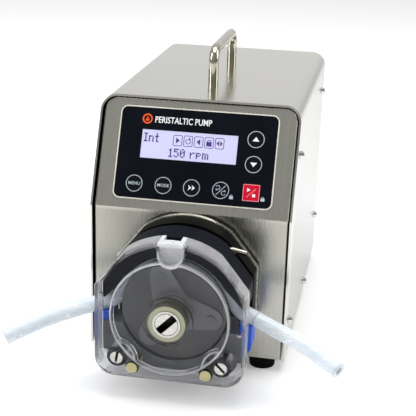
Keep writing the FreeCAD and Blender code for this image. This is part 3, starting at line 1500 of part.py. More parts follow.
def round_section(centre, outward, radius):
    """A circle in four arcs, whose joints face those of the squeezed section."""
    depth = Vector(0, 1, 0)
    spots = []
    for step in range(8):
        angle = math.radians(-135 + 45 * step)
        spots.append(centre + (depth * math.cos(angle) + outward * math.sin(angle)) * radius)
    return [
        Part.Arc(spots[i], spots[i + 1], spots[(i + 2) % 8]).toShape() for i in range(0, 8, 2)
    ]


# ---------------------------------------------------------------- build and write

make_wrap_cover()
make_side_screws()
make_front_panel()
make_base_plate()
make_rear_panel()
make_handle()
make_feet()
make_keypad()
make_rear_fittings()
make_internals()
make_back()
make_head_body()
make_lower_block()
make_jaw()
make_lever()
make_rotor()
make_carriers()
make_cover()
make_cover_fasteners()
make_keepers()
make_head_tube()
for tail_label in TAIL_ROUTES:
    make_tail(tail_label)
doc.recompute()

for obj in doc.Objects:
    if "Invalid" in obj.State or "Error" in obj.State:
        raise RuntimeError(f"{obj.Name} failed: {obj.State}")
for node in NODES:
    if node.Shape.isNull() or not node.Shape.isValid():
        raise RuntimeError(f"{node.Label} has no valid shape")

os.makedirs("parts", exist_ok=True)
for node in NODES:
    node.Shape.exportStep(f"parts/{node.Label}.step")
print(len(NODES), "nodes")
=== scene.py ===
import bpy
import bmesh
import json
import math
from mathutils import Matrix, Vector

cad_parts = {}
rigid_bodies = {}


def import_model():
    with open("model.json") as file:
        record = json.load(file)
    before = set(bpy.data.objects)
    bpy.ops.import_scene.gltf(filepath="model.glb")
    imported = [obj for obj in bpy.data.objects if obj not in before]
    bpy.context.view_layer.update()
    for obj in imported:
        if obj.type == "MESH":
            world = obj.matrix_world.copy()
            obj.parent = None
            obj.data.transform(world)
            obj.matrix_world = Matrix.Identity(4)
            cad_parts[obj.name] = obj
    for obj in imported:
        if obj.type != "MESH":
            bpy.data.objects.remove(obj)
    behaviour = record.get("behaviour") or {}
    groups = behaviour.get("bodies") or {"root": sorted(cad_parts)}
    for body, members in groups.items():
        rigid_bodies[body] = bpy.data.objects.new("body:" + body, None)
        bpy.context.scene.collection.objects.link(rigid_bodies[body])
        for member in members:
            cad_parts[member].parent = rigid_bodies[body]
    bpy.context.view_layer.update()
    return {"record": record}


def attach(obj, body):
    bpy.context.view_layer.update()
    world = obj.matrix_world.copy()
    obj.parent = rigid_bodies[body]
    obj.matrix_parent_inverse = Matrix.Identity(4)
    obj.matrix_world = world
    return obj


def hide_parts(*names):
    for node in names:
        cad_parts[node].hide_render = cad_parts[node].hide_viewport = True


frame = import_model()
scene = bpy.context.scene
MM = 0.001


# ---------------------------------------------------------------- camera

AZIMUTH, ELEVATION, ROLL = (math.radians(a) for a in (9.93, 19.24, -1.70))
EYE = Vector((139.3, -808.25, 383.6)) * MM
SENSOR_WIDTH, LENS = 36, 90.121154  # in mm


def make_camera():
    """A camera at EYE, turned by the three angles above."""
    away = Vector(
        (
            -math.sin(AZIMUTH) * math.cos(ELEVATION),
            math.cos(AZIMUTH) * math.cos(ELEVATION),
            -math.sin(ELEVATION),
        )
    )
    level_right = away.cross(Vector((0, 0, 1))).normalized()
    level_down = away.cross(level_right)
    right = math.cos(ROLL) * level_right + math.sin(ROLL) * level_down
    down = -math.sin(ROLL) * level_right + math.cos(ROLL) * level_down
    data = bpy.data.cameras.new("camera")
    data.sensor_width = SENSOR_WIDTH
    data.lens = LENS
    camera = bpy.data.objects.new("camera", data)
    turn = Matrix((right, -down, -away)).transposed()
    camera.matrix_world = Matrix.Translation(EYE) @ turn.to_4x4()
    scene.collection.objects.link(camera)
    scene.camera = camera


make_camera()


# ---------------------------------------------------------------- materials

# Places that the shading follows, in mm. Heights are above the floor.
AXIS_HEIGHT = 67.8  # the rotor's axis
BEND_HEIGHT = 123.7  # where the front panel starts to lean back
SHAFT_END, BUSH_END = -166.85, -166.15  # front faces' Y, here and below
SCREW_END, CARRIER_END = -158.55, -141.8
# The painted shade on the front panel and on the wrap cover fades over these, along X, Y or Z.
PANEL_LEFT, PANEL_RIGHT = (-72, -48), (25, 60)
WRAP_SIDE, WRAP_FRONT, WRAP_RISE = (72, 76), (-92, -70), (120, 200)

# The clear cover, in mm. Spots are to the right of the rotor's axis and above it.
COVER_FRONT = -158.35  # its front face's Y
WINDOW_RING = 42.6  # radius of the raised edge round the window
CORNER_RING, CORNER_SPOT = 13.4, (38, -34)  # the edge's notch round a screw
CROWN_RADIUS, SIDE_REACH, BASE_DROP = 53.4, 52, 46.6  # the cover's outline
SCOOP_RADIUS, SCOOP_SPOT, SCOOP_REACH = 9.5, (0, 48.5), 9.1
COVER_GLOSS = 0.15

# Grain, in features per metre along X, Y and Z, and relief, in metres.
FINE_GRAIN, BROAD_GRAIN, CLEAR_GRAIN, WEAR = (900,) * 3, (35,) * 3, (60,) * 3, (120,) * 3
GRAIN_DEPTH, WEAR_DEPTH, BRUSH_DEPTH = 6e-6, 1e-6, 4e-6
NOISE_LOW, NOISE_HIGH = 0.3, 0.7  # nearly all of the noise lies between these


class Nodes:
    """One material's node tree, with a short way to add and join nodes."""

    def __init__(self, name):
        self.material = bpy.data.materials.new(name)
        self.material.use_nodes = True
        self.tree = self.material.node_tree
        self.shader = self.tree.nodes["Principled BSDF"]

    def add(self, kind, **settings):
        """A new node with these properties."""
        node = self.tree.nodes.new(kind)
        for key, value in settings.items():
            setattr(node, key, value)
        return node

    def link(self, start, end):
        """Join an output to an input."""
        self.tree.links.new(start, end)

    def set(self, **values):
        """Set values on the shader itself."""
        for key, value in values.items():
            self.shader.inputs[key.replace("_", " ")].default_value = value

    def spots(self, scale):
        """The object's own coordinates, stretched by scale along X, Y and Z."""
        where = self.add("ShaderNodeTexCoord").outputs["Object"]
        mapping = self.add("ShaderNodeMapping")
        mapping.inputs["Scale"].default_value = scale
        self.link(where, mapping.inputs["Vector"])
        return mapping.outputs["Vector"]

    def noise(self, scale, detail=2.0, rough=0.5):
        """Noise from 0 to 1; scale is features per metre along X, Y and Z."""
        node = self.add("ShaderNodeTexNoise")
        node.inputs["Scale"].default_value = 1
        node.inputs["Detail"].default_value = detail
        node.inputs["Roughness"].default_value = rough
        self.link(self.spots(scale), node.inputs["Vector"])
        return node.outputs[0]

    def spread(self, source, low, high, start=NOISE_LOW, end=NOISE_HIGH):
        """The source, moved from start..end to low..high."""
        node = self.add("ShaderNodeMapRange")
        node.inputs["From Min"].default_value = start
        node.inputs["From Max"].default_value = end
        node.inputs["To Min"].default_value = low
        node.inputs["To Max"].default_value = high
        self.link(source, node.inputs["Value"])
        return node.outputs[0]

    def along(self, source, low, high, start, end):
        """Like spread, for a source that is a place: start and end are in mm."""
        return self.spread(source, low, high, start * MM, end * MM)

    def past(self, source, place, soft):
        """1 where the source is past a place in mm and 0 before it, with a soft edge."""
        return self.along(source, 0, 1, place - soft, place + soft)

    def before(self, source, place, soft):
        """1 where the source is before a place in mm and 0 past it, with a soft edge."""
        return self.along(source, 1, 0, place - soft, place + soft)

    def tint(self, source, dark, light):
        """A colour that runs from dark to light with the noise that is its source."""
        ramp = self.add("ShaderNodeValToRGB")
        ramp.color_ramp.elements[0].position = NOISE_LOW
        ramp.color_ramp.elements[1].position = NOISE_HIGH
        ramp.color_ramp.elements[0].color = (*dark, 1)
        ramp.color_ramp.elements[1].color = (*light, 1)
        self.link(source, ramp.inputs["Fac"])
        return ramp.outputs["Color"]

    def math(self, operation, first, second=0.0):
        """One arithmetic step; each side is a socket or a number."""
        node = self.add("ShaderNodeMath", operation=operation)
        for socket, side in zip(node.inputs, (first, second)):
            if isinstance(side, (int, float)):
                socket.default_value = side
            else:
                self.link(side, socket)
        return node.outputs[0]

    def place(self):
        """The X, Y and Z of the spot being shaded, in the pump's own frame."""
        split = self.add("ShaderNodeSeparateXYZ")
        self.link(self.add("ShaderNodeTexCoord").outputs["Object"], split.inputs[0])
        return split.outputs

    def scaled(self, colour, factor):
        """A colour times a factor."""
        node = self.add("ShaderNodeVectorMath", operation="MULTIPLY")
        self.link(colour, node.inputs[0])
        self.link(factor, node.inputs[1])
        return node.outputs[0]

    def bump(self, source, height):
        """Relief of this height, in metres."""
        node = self.add("ShaderNodeBump")
        node.inputs["Strength"].default_value = 1
        node.inputs["Distance"].default_value = height
        self.link(source, node.inputs["Height"])
        self.link(node.outputs["Normal"], self.shader.inputs["Normal"])


def brushed(name, dark, light, lines, rough=(0.24, 0.36), depth=BRUSH_DEPTH, shade=None):
    """Brushed metal; lines is how fast the brushing changes along X, Y and Z, and
    shade(n) gives a factor of painted light and shade for the colour."""
    n = Nodes(name)
    fine = n.noise(lines, 3.0, 0.7)
    n.set(Metallic=1.0)
    colour = n.tint(fine, dark, light)
    if shade:
        colour = n.scaled(colour, shade(n))
    n.link(colour, n.shader.inputs["Base Color"])
    n.link(n.spread(fine, *rough), n.shader.inputs["Roughness"])
    n.bump(fine, depth)
    return n.material


def panel_shade(n):
    """Painted shade from the head on the upright front panel, darkest beside the head's left.
    """
    x, _, z = n.place()
    left = n.along(x, 0.2, 0.46, *PANEL_LEFT)
    right = n.along(x, 0, 0.34, *PANEL_RIGHT)
    below = n.along(z, 1, 0, BEND_HEIGHT - 3, BEND_HEIGHT)
    painted_shade = n.math("MULTIPLY", n.math("SUBTRACT", left, right), below)
    return n.math("SUBTRACT", 1.0, painted_shade)


def wrap_shade(n):
    """Painted shade: the wrap cover's sides are darker than its top, most of all low down."""
    x, y, z = n.place()
    side = n.along(n.math("ABSOLUTE", x), 0, 1, *WRAP_SIDE)
    behind = n.along(y, 0, 1, *WRAP_FRONT)
    painted_shade = n.math("MULTIPLY", n.along(z, 0.5, 0.35, *WRAP_RISE), behind)
    return n.math("SUBTRACT", 1.0, n.math("MULTIPLY", side, painted_shade))


def deep_shade(front, depth=1.2, near=1, far=0.02):
    """Painted shade: darkens what lies behind this Y, such as the inside of a slot, from near
    to far over this depth."""

    def shade(n):
        y = n.place()[1]
        return n.along(y, near, far, front + 0.15, front + depth)

    return shade


def moulded(name, dark, light, rough=(0.35, 0.5), gloss=0.5, shade=None):
    """Moulded plastic, rubber or paint with a fine grain; gloss is its specular level."""
    n = Nodes(name)
    fine = n.noise(FINE_GRAIN)
    broad = n.noise(BROAD_GRAIN, 3.0)
    colour = n.tint(broad, dark, light)
    # shade(n) gives a factor of painted light and shade for the colour.
    if shade:
        colour = n.scaled(colour, shade(n))
    n.link(colour, n.shader.inputs["Base Color"])
    n.link(n.spread(broad, *rough), n.shader.inputs["Roughness"])
    n.bump(fine, GRAIN_DEPTH)
    n.set(Specular_IOR_Level=gloss)
    return n.material


def polished(name, dark, light, rough=(0.05, 0.14)):
    """Turned or plated metal with faint wear."""
    n = Nodes(name)
    wear = n.noise(WEAR, 4.0, 0.6)
    n.set(Metallic=1.0)
    n.link(n.tint(wear, dark, light), n.shader.inputs["Base Color"])
    n.link(n.spread(wear, *rough), n.shader.inputs["Roughness"])
    n.bump(wear, WEAR_DEPTH)
    return n.material


def clear_face(n, gloss):
    """The surface of clear plastic; gloss is how much it reflects."""
    n.set(IOR=1.3, Specular_IOR_Level=gloss, Specular_Tint=(*[gloss * 2] * 3, 1))


def clear(name, colour, rough, gloss):
    """Clear moulded plastic with a slightly uneven surface."""
    n = Nodes(name)
    broad = n.noise(CLEAR_GRAIN)
    n.link(n.tint(broad, colour, colour), n.shader.inputs["Base Color"])
    n.link(n.spread(broad, *rough), n.shader.inputs["Roughness"])
    clear_face(n, gloss)
    n.set(Transmission_Weight=1.0)
    return n.material


def cover_frost_and_highlight(n):
    """How frosted the cover is: painted highlights along its edges and skirt, and its scoop."""
    x, y, z = n.place()

    def reach(across, above):
        """How far the shaded spot is from this one."""
        run = n.math("SUBTRACT", x, across * MM)
        rise = n.math("SUBTRACT", z, (AXIS_HEIGHT + above) * MM)
        squares = n.math("ADD", n.math("MULTIPLY", run, run), n.math("MULTIPLY", rise, rise))
        return n.math("SQRT", squares)

    def edge(distance, radius):
        """A thin ring at this radius."""
        off = n.math("ABSOLUTE", n.math("SUBTRACT", distance, radius * MM))
        return n.before(off, 0.65, 0.45)

    middle = reach(0, 0)
    inside = n.before(middle, WINDOW_RING - 0.1, 0.5)
    # Painted highlights: thin frosted rings on the window's edge and round the screws' notches.
    frost_and_highlight = n.math("MULTIPLY", edge(middle, WINDOW_RING), 0.6)
    across, above = CORNER_SPOT
    for side in (-1, 1):
        notch = edge(reach(across * side, above), CORNER_RING)
        notch = n.math("MULTIPLY", notch, n.math("MULTIPLY", inside, 0.6))
        frost_and_highlight = n.math("MAXIMUM", frost_and_highlight, notch)
    crown = n.math(
        "MULTIPLY", n.past(middle, CROWN_RADIUS, 0.2), n.past(z, AXIS_HEIGHT + 2.5, 2.5)
    )
    wall = n.past(n.math("ABSOLUTE", x), SIDE_REACH, 0.2)
    base = n.before(z, AXIS_HEIGHT - BASE_DROP, 0.2)
    rim = n.math("MAXIMUM", crown, n.math("MAXIMUM", wall, base))
    # Painted highlight: the frosted skirt along the cover's outer edges.
    skirt = n.along(y, 0, 0.35, COVER_FRONT + 0.4, COVER_FRONT + 2)
    skirt = n.math("MULTIPLY", skirt, rim)
    scoop_side = n.before(n.math("ABSOLUTE", x), SCOOP_REACH, 0.5)
    scoop_low = n.before(reach(*SCOOP_SPOT), SCOOP_RADIUS, 0.5)
    scoop_high = n.past(z, AXIS_HEIGHT + SCOOP_SPOT[1], 0.5)
    scoop = n.math("MULTIPLY", scoop_side, n.math("MAXIMUM", scoop_low, scoop_high))
    return n.math("MAXIMUM", frost_and_highlight, n.math("MAXIMUM", skirt, n.math("MULTIPLY", scoop, 0.8)))


def clear_cover(name):
    """The head's clear cover, rougher and less clear where frosted, mostly as painted
    highlight.
    """
    n = Nodes(name)
    frost_and_highlight = cover_frost_and_highlight(n)
    broad = n.noise(CLEAR_GRAIN)
    n.link(n.tint(broad, (0.80, 0.81, 0.83), (0.86, 0.86, 0.88)), n.shader.inputs["Base Color"])
    rough = n.math("ADD", n.spread(broad, 0.02, 0.07), n.math("MULTIPLY", frost_and_highlight, 0.3))
    n.link(rough, n.shader.inputs["Roughness"])
    solid = n.math("MULTIPLY", frost_and_highlight, 0.75)
    n.link(n.math("SUBTRACT", 1.0, solid), n.shader.inputs["Transmission Weight"])
    clear_face(n, COVER_GLOSS)
    return n.material


def lit(name, colour, glow, strength):
    """A back-lit display face with a faint grain, a little dimmer in patches."""
    n = Nodes(name)
    fine = n.noise(FINE_GRAIN)
    n.link(n.tint(fine, colour, colour), n.shader.inputs["Base Color"])
    broad = n.noise((12, 12, 12))
    bright = [strength * part for part in glow]
    dim = [0.96 * part for part in bright]
    n.link(n.tint(broad, dim, bright), n.shader.inputs["Emission Color"])
    n.set(Emission_Strength=1.0, Roughness=0.6)
    return n.material


def soft_plastic(name):
    """Translucent silicone, its colour painted with pale highlight streaks along the tube."""
    n = Nodes(name)
    highlight_streaks = n.noise((18, 260, 260))
    colour = n.tint(highlight_streaks, (0.72, 0.81, 0.90), (0.88, 0.92, 0.95))
    n.link(colour, n.shader.inputs["Base Color"])
    n.link(n.spread(highlight_streaks, 0.12, 0.3), n.shader.inputs["Roughness"])
    n.bump(n.noise((400, 400, 400)), 8e-6)
    n.set(Transmission_Weight=0.25, IOR=1.4)
    return n.material


DULL = {"gloss": 0.04}
EVEN = (500,) * 3  # brushing that runs no one way
# The finish of each of the record's material slots.
FINISH = {
    "wrap_steel": brushed(
        "wrap_steel",
        (0.53, 0.52, 0.48),
        (0.63, 0.62, 0.58),
        (6, 1400, 6),
        (0.15, 0.22),
        3e-6,
        wrap_shade,
    ),
    "panel_steel": brushed(
        "panel_steel",
        (0.445, 0.44, 0.395),
        (0.475, 0.47, 0.42),
        (1400, 6, 6),
        (0.24, 0.3),
        6e-7,
        panel_shade,
    ),
    "screw_steel": polished("screw_steel", (0.55, 0.55, 0.54), (0.75, 0.75, 0.74)),
    "handle_chrome": polished("handle_chrome", (0.36, 0.34, 0.27), (0.52, 0.49, 0.40)),
    "foot_rubber": moulded(
        "foot_rubber", (0.002, 0.002, 0.002), (0.004, 0.004, 0.004), (0.6, 0.8), **DULL
    ),
    # Painted highlight: a thin cream rim round the keypad, for the glint on the edge of its
    # recess.
    "rim_cream": moulded("rim_cream", (0.62, 0.60, 0.52), (0.74, 0.72, 0.64), (0.3, 0.4)),
    "keypad_navy": moulded("keypad_navy", (0.003, 0.004, 0.007), (0.005, 0.006, 0.010), **DULL),
    "key_navy": moulded("key_navy", (0.005, 0.006, 0.009), (0.007, 0.008, 0.013), **DULL),
    "key_red": moulded(
        "key_red", (0.55, 0.005, 0.026), (0.61, 0.009, 0.034), (0.3, 0.4), gloss=0.08
    ),
    "window_clear": clear("window_clear", (0.98, 0.98, 1.0), (0.01, 0.03), 0.2),
    "display_face": lit("display_face", (0.20, 0.20, 0.30), (0.53, 0.53, 0.72), 1.1),
    "board_green": moulded("board_green", (0.01, 0.08, 0.03), (0.02, 0.12, 0.05), (0.4, 0.5)),
    "fitting_black": moulded(
        "fitting_black", (0.008, 0.008, 0.009), (0.016, 0.016, 0.017), gloss=0.3
    ),
    "pin_brass": polished("pin_brass", (0.34, 0.30, 0.15), (0.44, 0.40, 0.22), (0.3, 0.45)),
    "signal_shell": polished(
        "signal_shell", (0.50, 0.50, 0.48), (0.62, 0.62, 0.60), (0.2, 0.35)
    ),
    "mount_aluminium": brushed(
        "mount_aluminium", (0.62, 0.62, 0.62), (0.74, 0.74, 0.74), (300, 300, 300)
    ),
    "motor_black": moulded("motor_black", (0.012, 0.012, 0.013), (0.03, 0.03, 0.032)),
    "head_silver": brushed(
        "head_silver", (0.66, 0.65, 0.58), (0.84, 0.82, 0.75), (300, 300, 300)
    ),
    "head_black": moulded("head_black", (0.002, 0.002, 0.002), (0.005, 0.005, 0.005), **DULL),
    "block_grey": moulded(
        "block_grey", (0.13, 0.135, 0.14), (0.19, 0.195, 0.20), (0.3, 0.45), gloss=0.3
    ),
    "jaw_black": moulded("jaw_black", (0.004, 0.005, 0.008), (0.009, 0.010, 0.016), **DULL),
    "bearing_steel": polished("bearing_steel", (0.60, 0.60, 0.61), (0.74, 0.74, 0.75)),
    "shaft_steel": brushed(
        "shaft_steel", (0.44, 0.43, 0.41), (0.60, 0.59, 0.56), (500, 500, 500)
    ),
    "carrier_grey": moulded("carrier_grey", (0.17, 0.17, 0.18), (0.22, 0.22, 0.23), gloss=0.35),
    "roller_steel": brushed(
        "roller_steel", (0.55, 0.56, 0.58), (0.72, 0.73, 0.75), (500, 30, 500)
    ),
    "cover_clear": clear_cover("cover_clear"),
    "bush_cream": moulded("bush_cream", (0.22, 0.22, 0.15), (0.32, 0.32, 0.23), gloss=0.1),
    "keeper_blue": moulded("keeper_blue", (0.012, 0.08, 0.55), (0.02, 0.11, 0.66), gloss=0.3),
    "tube_soft": soft_plastic("tube_soft"),
}
# Finishes of single nodes within a slot.
OWN_FINISH = {
    # Painted shade in the slot across the shaft's end.
    "rotor_shaft": brushed(
        "shaft_end", (0.44, 0.43, 0.41), (0.60, 0.59, 0.56), EVEN, shade=deep_shade(SHAFT_END)
    ),
    # Painted shade in the screws' slots.
    "cover_screws": brushed(
        "screw_end", (0.34, 0.34, 0.32), (0.60, 0.60, 0.57), EVEN, shade=deep_shade(SCREW_END)
    ),
    # Painted light on the raised lobes and painted shade on the disc behind them.
    "front_carrier": moulded(
        "carrier_face",
        (0.17, 0.17, 0.17),
        (0.20, 0.20, 0.20),
        gloss=0.35,
        shade=deep_shade(CARRIER_END, 1.9, 1.35, 0.75),
    ),
    # Painted shade along the bush behind its front face, inside the boss.
    "front_bush": moulded(
        "bush_face",
        (0.28, 0.28, 0.19),
        (0.38, 0.38, 0.28),
        gloss=0.1,
        shade=deep_shade(BUSH_END, 1.0, 1.1, 0.35),
    ),
    "roller_axles": moulded("axle_grey", (0.20, 0.20, 0.21), (0.26, 0.26, 0.27), gloss=0.3),
}
INK = {
    "pale": moulded("ink_pale", (0.42, 0.48, 0.55), (0.50, 0.56, 0.63), gloss=0.2),
    "white": moulded("ink_white", (0.78, 0.79, 0.82), (0.88, 0.89, 0.92), gloss=0.2),
    "violet": moulded("ink_violet", (0.10, 0.04, 0.30), (0.14, 0.06, 0.38), gloss=0.1),
    "orange": moulded("ink_orange", (0.75, 0.09, 0.02), (0.85, 0.12, 0.03), gloss=0.2),
    "rose": moulded("ink_rose", (0.80, 0.35, 0.38), (0.88, 0.42, 0.45), gloss=0.2),
}


def finish_nodes():
    """Give each CAD node the finish of its slot in the record."""
    for entry in frame["record"]["subparts"]:
        node = bpy.data.objects[entry["node"]]
        finish = OWN_FINISH.get(entry["node"], FINISH[entry["material_slot"]])
        for slot in node.material_slots:
            slot.material = finish
        if not node.material_slots:
            node.data.materials.append(finish)


finish_nodes()


# ---------------------------------------------------------------- print on the keypad

# The sloped panel's own frame: right, up the slope and out of it, from the bend, in mm.
SLOPE_ORIGIN = Vector((0, -90.078, 123.258))
SLOPE_UP = Vector((0, 0.41685, 0.90897))
SLOPE_OUT = Vector((0, -0.90897, 0.41685))
PAD_FACE, KEY_FACE, DISPLAY_FACE = 1.01, 1.11, 0.02  # how far out the ink lies
INK_DEPTH = 0.06
LETTER_WEIGHT = 0.012  # how much the printed letters are thickened


def on_slope(x, up, out):
    """A place on the sloped panel, in metres."""
    return (Vector((x, 0, 0)) + SLOPE_ORIGIN + SLOPE_UP * up + SLOPE_OUT * out) * MM


def rounded(x, up, half_wide, half_high, radius, steps=6):
    """A rectangle with round corners; with equal sizes it is a circle."""
    points = []
    for i, (side, top) in enumerate(((1, 1), (-1, 1), (-1, -1), (1, -1))):
        for step in range(steps + 1):
            angle = math.radians(90 * (i + step / steps))
            points.append(
                (
                    x + side * (half_wide - radius) + radius * math.cos(angle),
                    up + top * (half_high - radius) + radius * math.sin(angle),
                )
            )
    return points


def sweep(x, up, radius, start, end, steps=12):
    """Points along an arc, in degrees."""
    angles = [math.radians(start + (end - start) * i / steps) for i in range(steps + 1)]
    return [(x + radius * math.cos(a), up + radius * math.sin(a)) for a in angles]


class Print:
    """Ink on the sloped keypad; places are to the right and up the slope, in mm."""

    def __init__(self, face):
        self.low, self.high = face, face + INK_DEPTH
        self.shape = bmesh.new()

    def ring(self, points, height):
        """Corners at one height."""
        return [self.shape.verts.new(on_slope(x, up, height)) for x, up in points]

    def join(self, first, second):
        """Walls between two rings."""
        for i in range(len(first)):
            j = (i + 1) % len(first)
            self.shape.faces.new((first[i], first[j], second[j], second[i]))

    def patch(self, *points):
        """A filled shape."""
        low, high = self.ring(points, self.low), self.ring(points, self.high)
        self.shape.faces.new(high)
        self.shape.faces.new(low[::-1])
        self.join(low, high)
        return self

    def band(self, outer, inner):
        """The area between two outlines."""
        corners = [
            self.ring(points, height)
            for points, height in (
                (outer, self.low),
                (outer, self.high),
                (inner, self.high),
                (inner, self.low),
            )
        ]
        for i in range(4):
            self.join(corners[i], corners[(i + 1) % 4])
        return self

    def hoop(self, x, up, radius, width):
        """A circle's outline."""
        small = radius - width
        return self.band(
            rounded(x, up, radius, radius, radius), rounded(x, up, small, small, small)
        )

    def line(self, points, width):
        """A line through the points, one bar for each stretch."""
        for start, end in zip(points, points[1:]):
            start, end = Vector(start), Vector(end)
            along = (end - start).normalized()
            side = Vector((-along.y, along.x)) * width / 2
            self.patch(start - side, end - side, end + side, start + side)
        return self

    def lock(self, x, up):
        """A closed padlock."""
        self.patch(*rounded(x, up - 0.5, 1.5, 1.1, 0.3, 2))
        return self.line(sweep(x, up + 0.6, 0.9, 0, 180, 8), 0.4)

    def letters(self, text, x, up, dot=0.95):
        """Dot-matrix letters with their lower left corner at x and up."""
        for letter in text:
            rows = GLYPHS[letter]
            for i, row in enumerate(rows):
                low = up + (len(rows) - 1 - i) * dot
                high = low + dot
                for start, end in dots(row):
                    left, right = x + start * dot, x + end * dot
                    self.patch((left, low), (right, low), (right, high), (left, high))
            x += (len(rows[0]) + 1) * dot
        return self

    def done(self, name, ink, body="case"):
        """Turn the ink into a piece that moves with the body."""
        bmesh.ops.recalc_face_normals(self.shape, faces=self.shape.faces)
        mesh = bpy.data.meshes.new(name)
        self.shape.to_mesh(mesh)
        self.shape.free()
        add_piece(name, mesh, ink, body)


def dots(row):
    """Where each run of filled dots in a row starts and ends."""
    runs, start = [], None
    for i, mark in enumerate(row + " "):
        if mark != " " and start is None:
            start = i
        if mark == " " and start is not None:
            runs.append((start, i))
            start = None
    return runs


def add_piece(name, mesh, ink, body):
    """A printed piece that moves with the body."""
    mesh.materials.append(INK[ink])
    piece = bpy.data.objects.new(name, mesh)
    scene.collection.objects.link(piece)
    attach(piece, body)


def words(name, text, spot, size, face, ink="pale", body="case"):
    """Printed letters that fill a box: spot is its lower left corner, size its extent."""
    font = bpy.data.curves.new(name + "_letters", "FONT")
    font.body = text
    font.resolution_u = 3
    font.offset = LETTER_WEIGHT
    font.extrude = 0.5
    maker = bpy.data.objects.new(name + "_maker", font)
    scene.collection.objects.link(maker)
    bpy.context.view_layer.update()
    mesh = bpy.data.meshes.new_from_object(
        maker.evaluated_get(bpy.context.evaluated_depsgraph_get())
    )
    mesh.name = name
    bpy.data.objects.remove(maker)
    low = [min(v.co[i] for v in mesh.vertices) for i in (0, 1)]
    high = [max(v.co[i] for v in mesh.vertices) for i in (0, 1)]
    for v in mesh.vertices:
        x, up = (spot[i] + (v.co[i] - low[i]) / (high[i] - low[i]) * size[i] for i in (0, 1))
        v.co = on_slope(x, up, face + (INK_DEPTH if v.co.z > 0 else 0))
    mesh.materials.clear()
    add_piece(name, mesh, ink, body)


GLYPHS = {
    "I": ("###", " # ", " # ", " # ", " # ", " # ", "###"),
    "n": ("    ", "    ", "### ", "#  #", "#  #", "#  #", "#  #"),
    "t": (" # ", " # ", "###", " # ", " # ", " # ", " ##"),
    "1": (" # ", "## ", " # ", " # ", " # ", " # ", "###"),
    "5": ("####", "#   ", "### ", "   #", "   #", "#  #", " ## "),
    "0": (" ## ", "#  #", "# ##", "## #", "#  #", "#  #", " ## "),
    "r": ("    ", "    ", "# ##", "##  ", "#   ", "#   ", "#   "),
    "p": ("    ", "    ", "### ", "#  #", "### ", "#   ", "#   "),
    "m": ("     ", "     ", "## # ", "# # #", "# # #", "# # #", "# # #"),
    " ": ("  ",) * 7,
}
ROUND_KEYS = {
    "menu": (-44.7, 19.4),
    "mode": (-22.4, 19.4),
    "fast": (-0.7, 19.4),
    "direction": (21.4, 19.4),
    "up": (44.1, 59.4),
    "down": (44, 40.6),
}
START_KEY = (44.3, 19.4)
KEY_RING = (6.4, 0.5)  # radius and width
KEY_WORD, WORD_DROP = (9, 2.4), 1.1  # its size, and its foot below the key's middle
KEY_LINE = 0.45  # how thick the direction key's lines are
ICON_START, ICON_PITCH, ICON_HEIGHT = -15, 8, 54.3


def print_rings_and_words():
    """A ring on each round key, and the words on two of them."""
    for name, (x, up) in ROUND_KEYS.items():
        Print(KEY_FACE).hoop(x, up, *KEY_RING).done(f"{name}_ring", "pale", f"{name}_key")
    for name in ("menu", "mode"):
        x, up = ROUND_KEYS[name]
        spot = (x - KEY_WORD[0] / 2, up - WORD_DROP)
        words(f"{name}_word", name.upper(), spot, KEY_WORD, KEY_FACE, body=f"{name}_key")


def print_fast_arrows():
    """Two arrowheads with notched backs, one after the other."""
    x, up = ROUND_KEYS["fast"]
    arrows = Print(KEY_FACE)
    for left in (x - 2.6, x + 0.1):
        tip, notch = (left + 2.6, up), (left + 0.7, up)
        arrows.patch((left, up - 2.1), tip, notch)
        arrows.patch(notch, tip, (left, up + 2.1))
    arrows.done("fast_arrows", "white", "fast_key")


def print_direction_arrows():
    """Two round arrows, one on each side of a sloping line."""
    x, up = ROUND_KEYS["direction"]
    turns = Print(KEY_FACE).line([(x - 3.4, up - 3.6), (x + 3.4, up + 3.6)], KEY_LINE)
    for side, start in ((-1, 160), (1, -20)):
        arc = sweep(x + side * 2.2, up - side * 2.0, 1.5, start, start - 290)
        turns.line(arc, KEY_LINE)
        tip_x, tip_y = arc[-1]
        turns.patch((tip_x - 0.9, tip_y), (tip_x + 0.9, tip_y), (tip_x, tip_y + side * 1.3))
    turns.done("direction_arrows", "pale", "direction_key")


def print_up_and_down():
    """One plain triangle on each of the two arrow keys."""
    for name, turn in (("up", 1), ("down", -1)):
        x, up = ROUND_KEYS[name]
        back, half = up - 1.4 * turn, 2.6 * turn
        arrow = Print(KEY_FACE).patch((x - half, back), (x + half, back), (x, up + 1.9 * turn))
        arrow.done(f"{name}_arrow", "white", f"{name}_key")


def print_start_stop():
    """The red key's edge and sloping line, and its play and stop marks."""
    x, up = START_KEY
    edge = Print(KEY_FACE).band(rounded(x, up, 6.2, 6.2, 0.7), rounded(x, up, 5.85, 5.85, 0.5))
    edge.line([(x - 3.2, up - 3.4), (x + 3.2, up + 3.0)], 0.35)
    edge.done("start_stop_lines", "rose", "start_stop_key")
    marks = Print(KEY_FACE).patch((x - 3.1, up + 0.5), (x - 0.6, up + 2.0), (x - 3.1, up + 3.5))
    marks.patch((x + 1, up - 3.1), (x + 3.2, up - 3.1), (x + 3.2, up - 0.9), (x + 1, up - 0.9))
    marks.done("start_stop_marks", "white", "start_stop_key")


def make_pad_print():
    """The locks beside two keys, the title and the drop in a ring."""
    locks = Print(PAD_FACE).lock(29.7, 15.1).lock(53.2, 15.3)
    locks.done("lock_marks", "pale")
    words("pump_title", "PERISTALTIC PUMP", (-33.6, 66.6), (43.5, 4.9), PAD_FACE, "white")
    badge = Print(PAD_FACE).hoop(-39.6, 69.2, 3.9, 1.1)
    badge.patch(*rounded(-39.6, 68.7, 1.4, 1.4, 1.4), (-38.2, 68.9), (-39.6, 71.6), (-41, 68.9))
    badge.done("drop_badge", "orange")


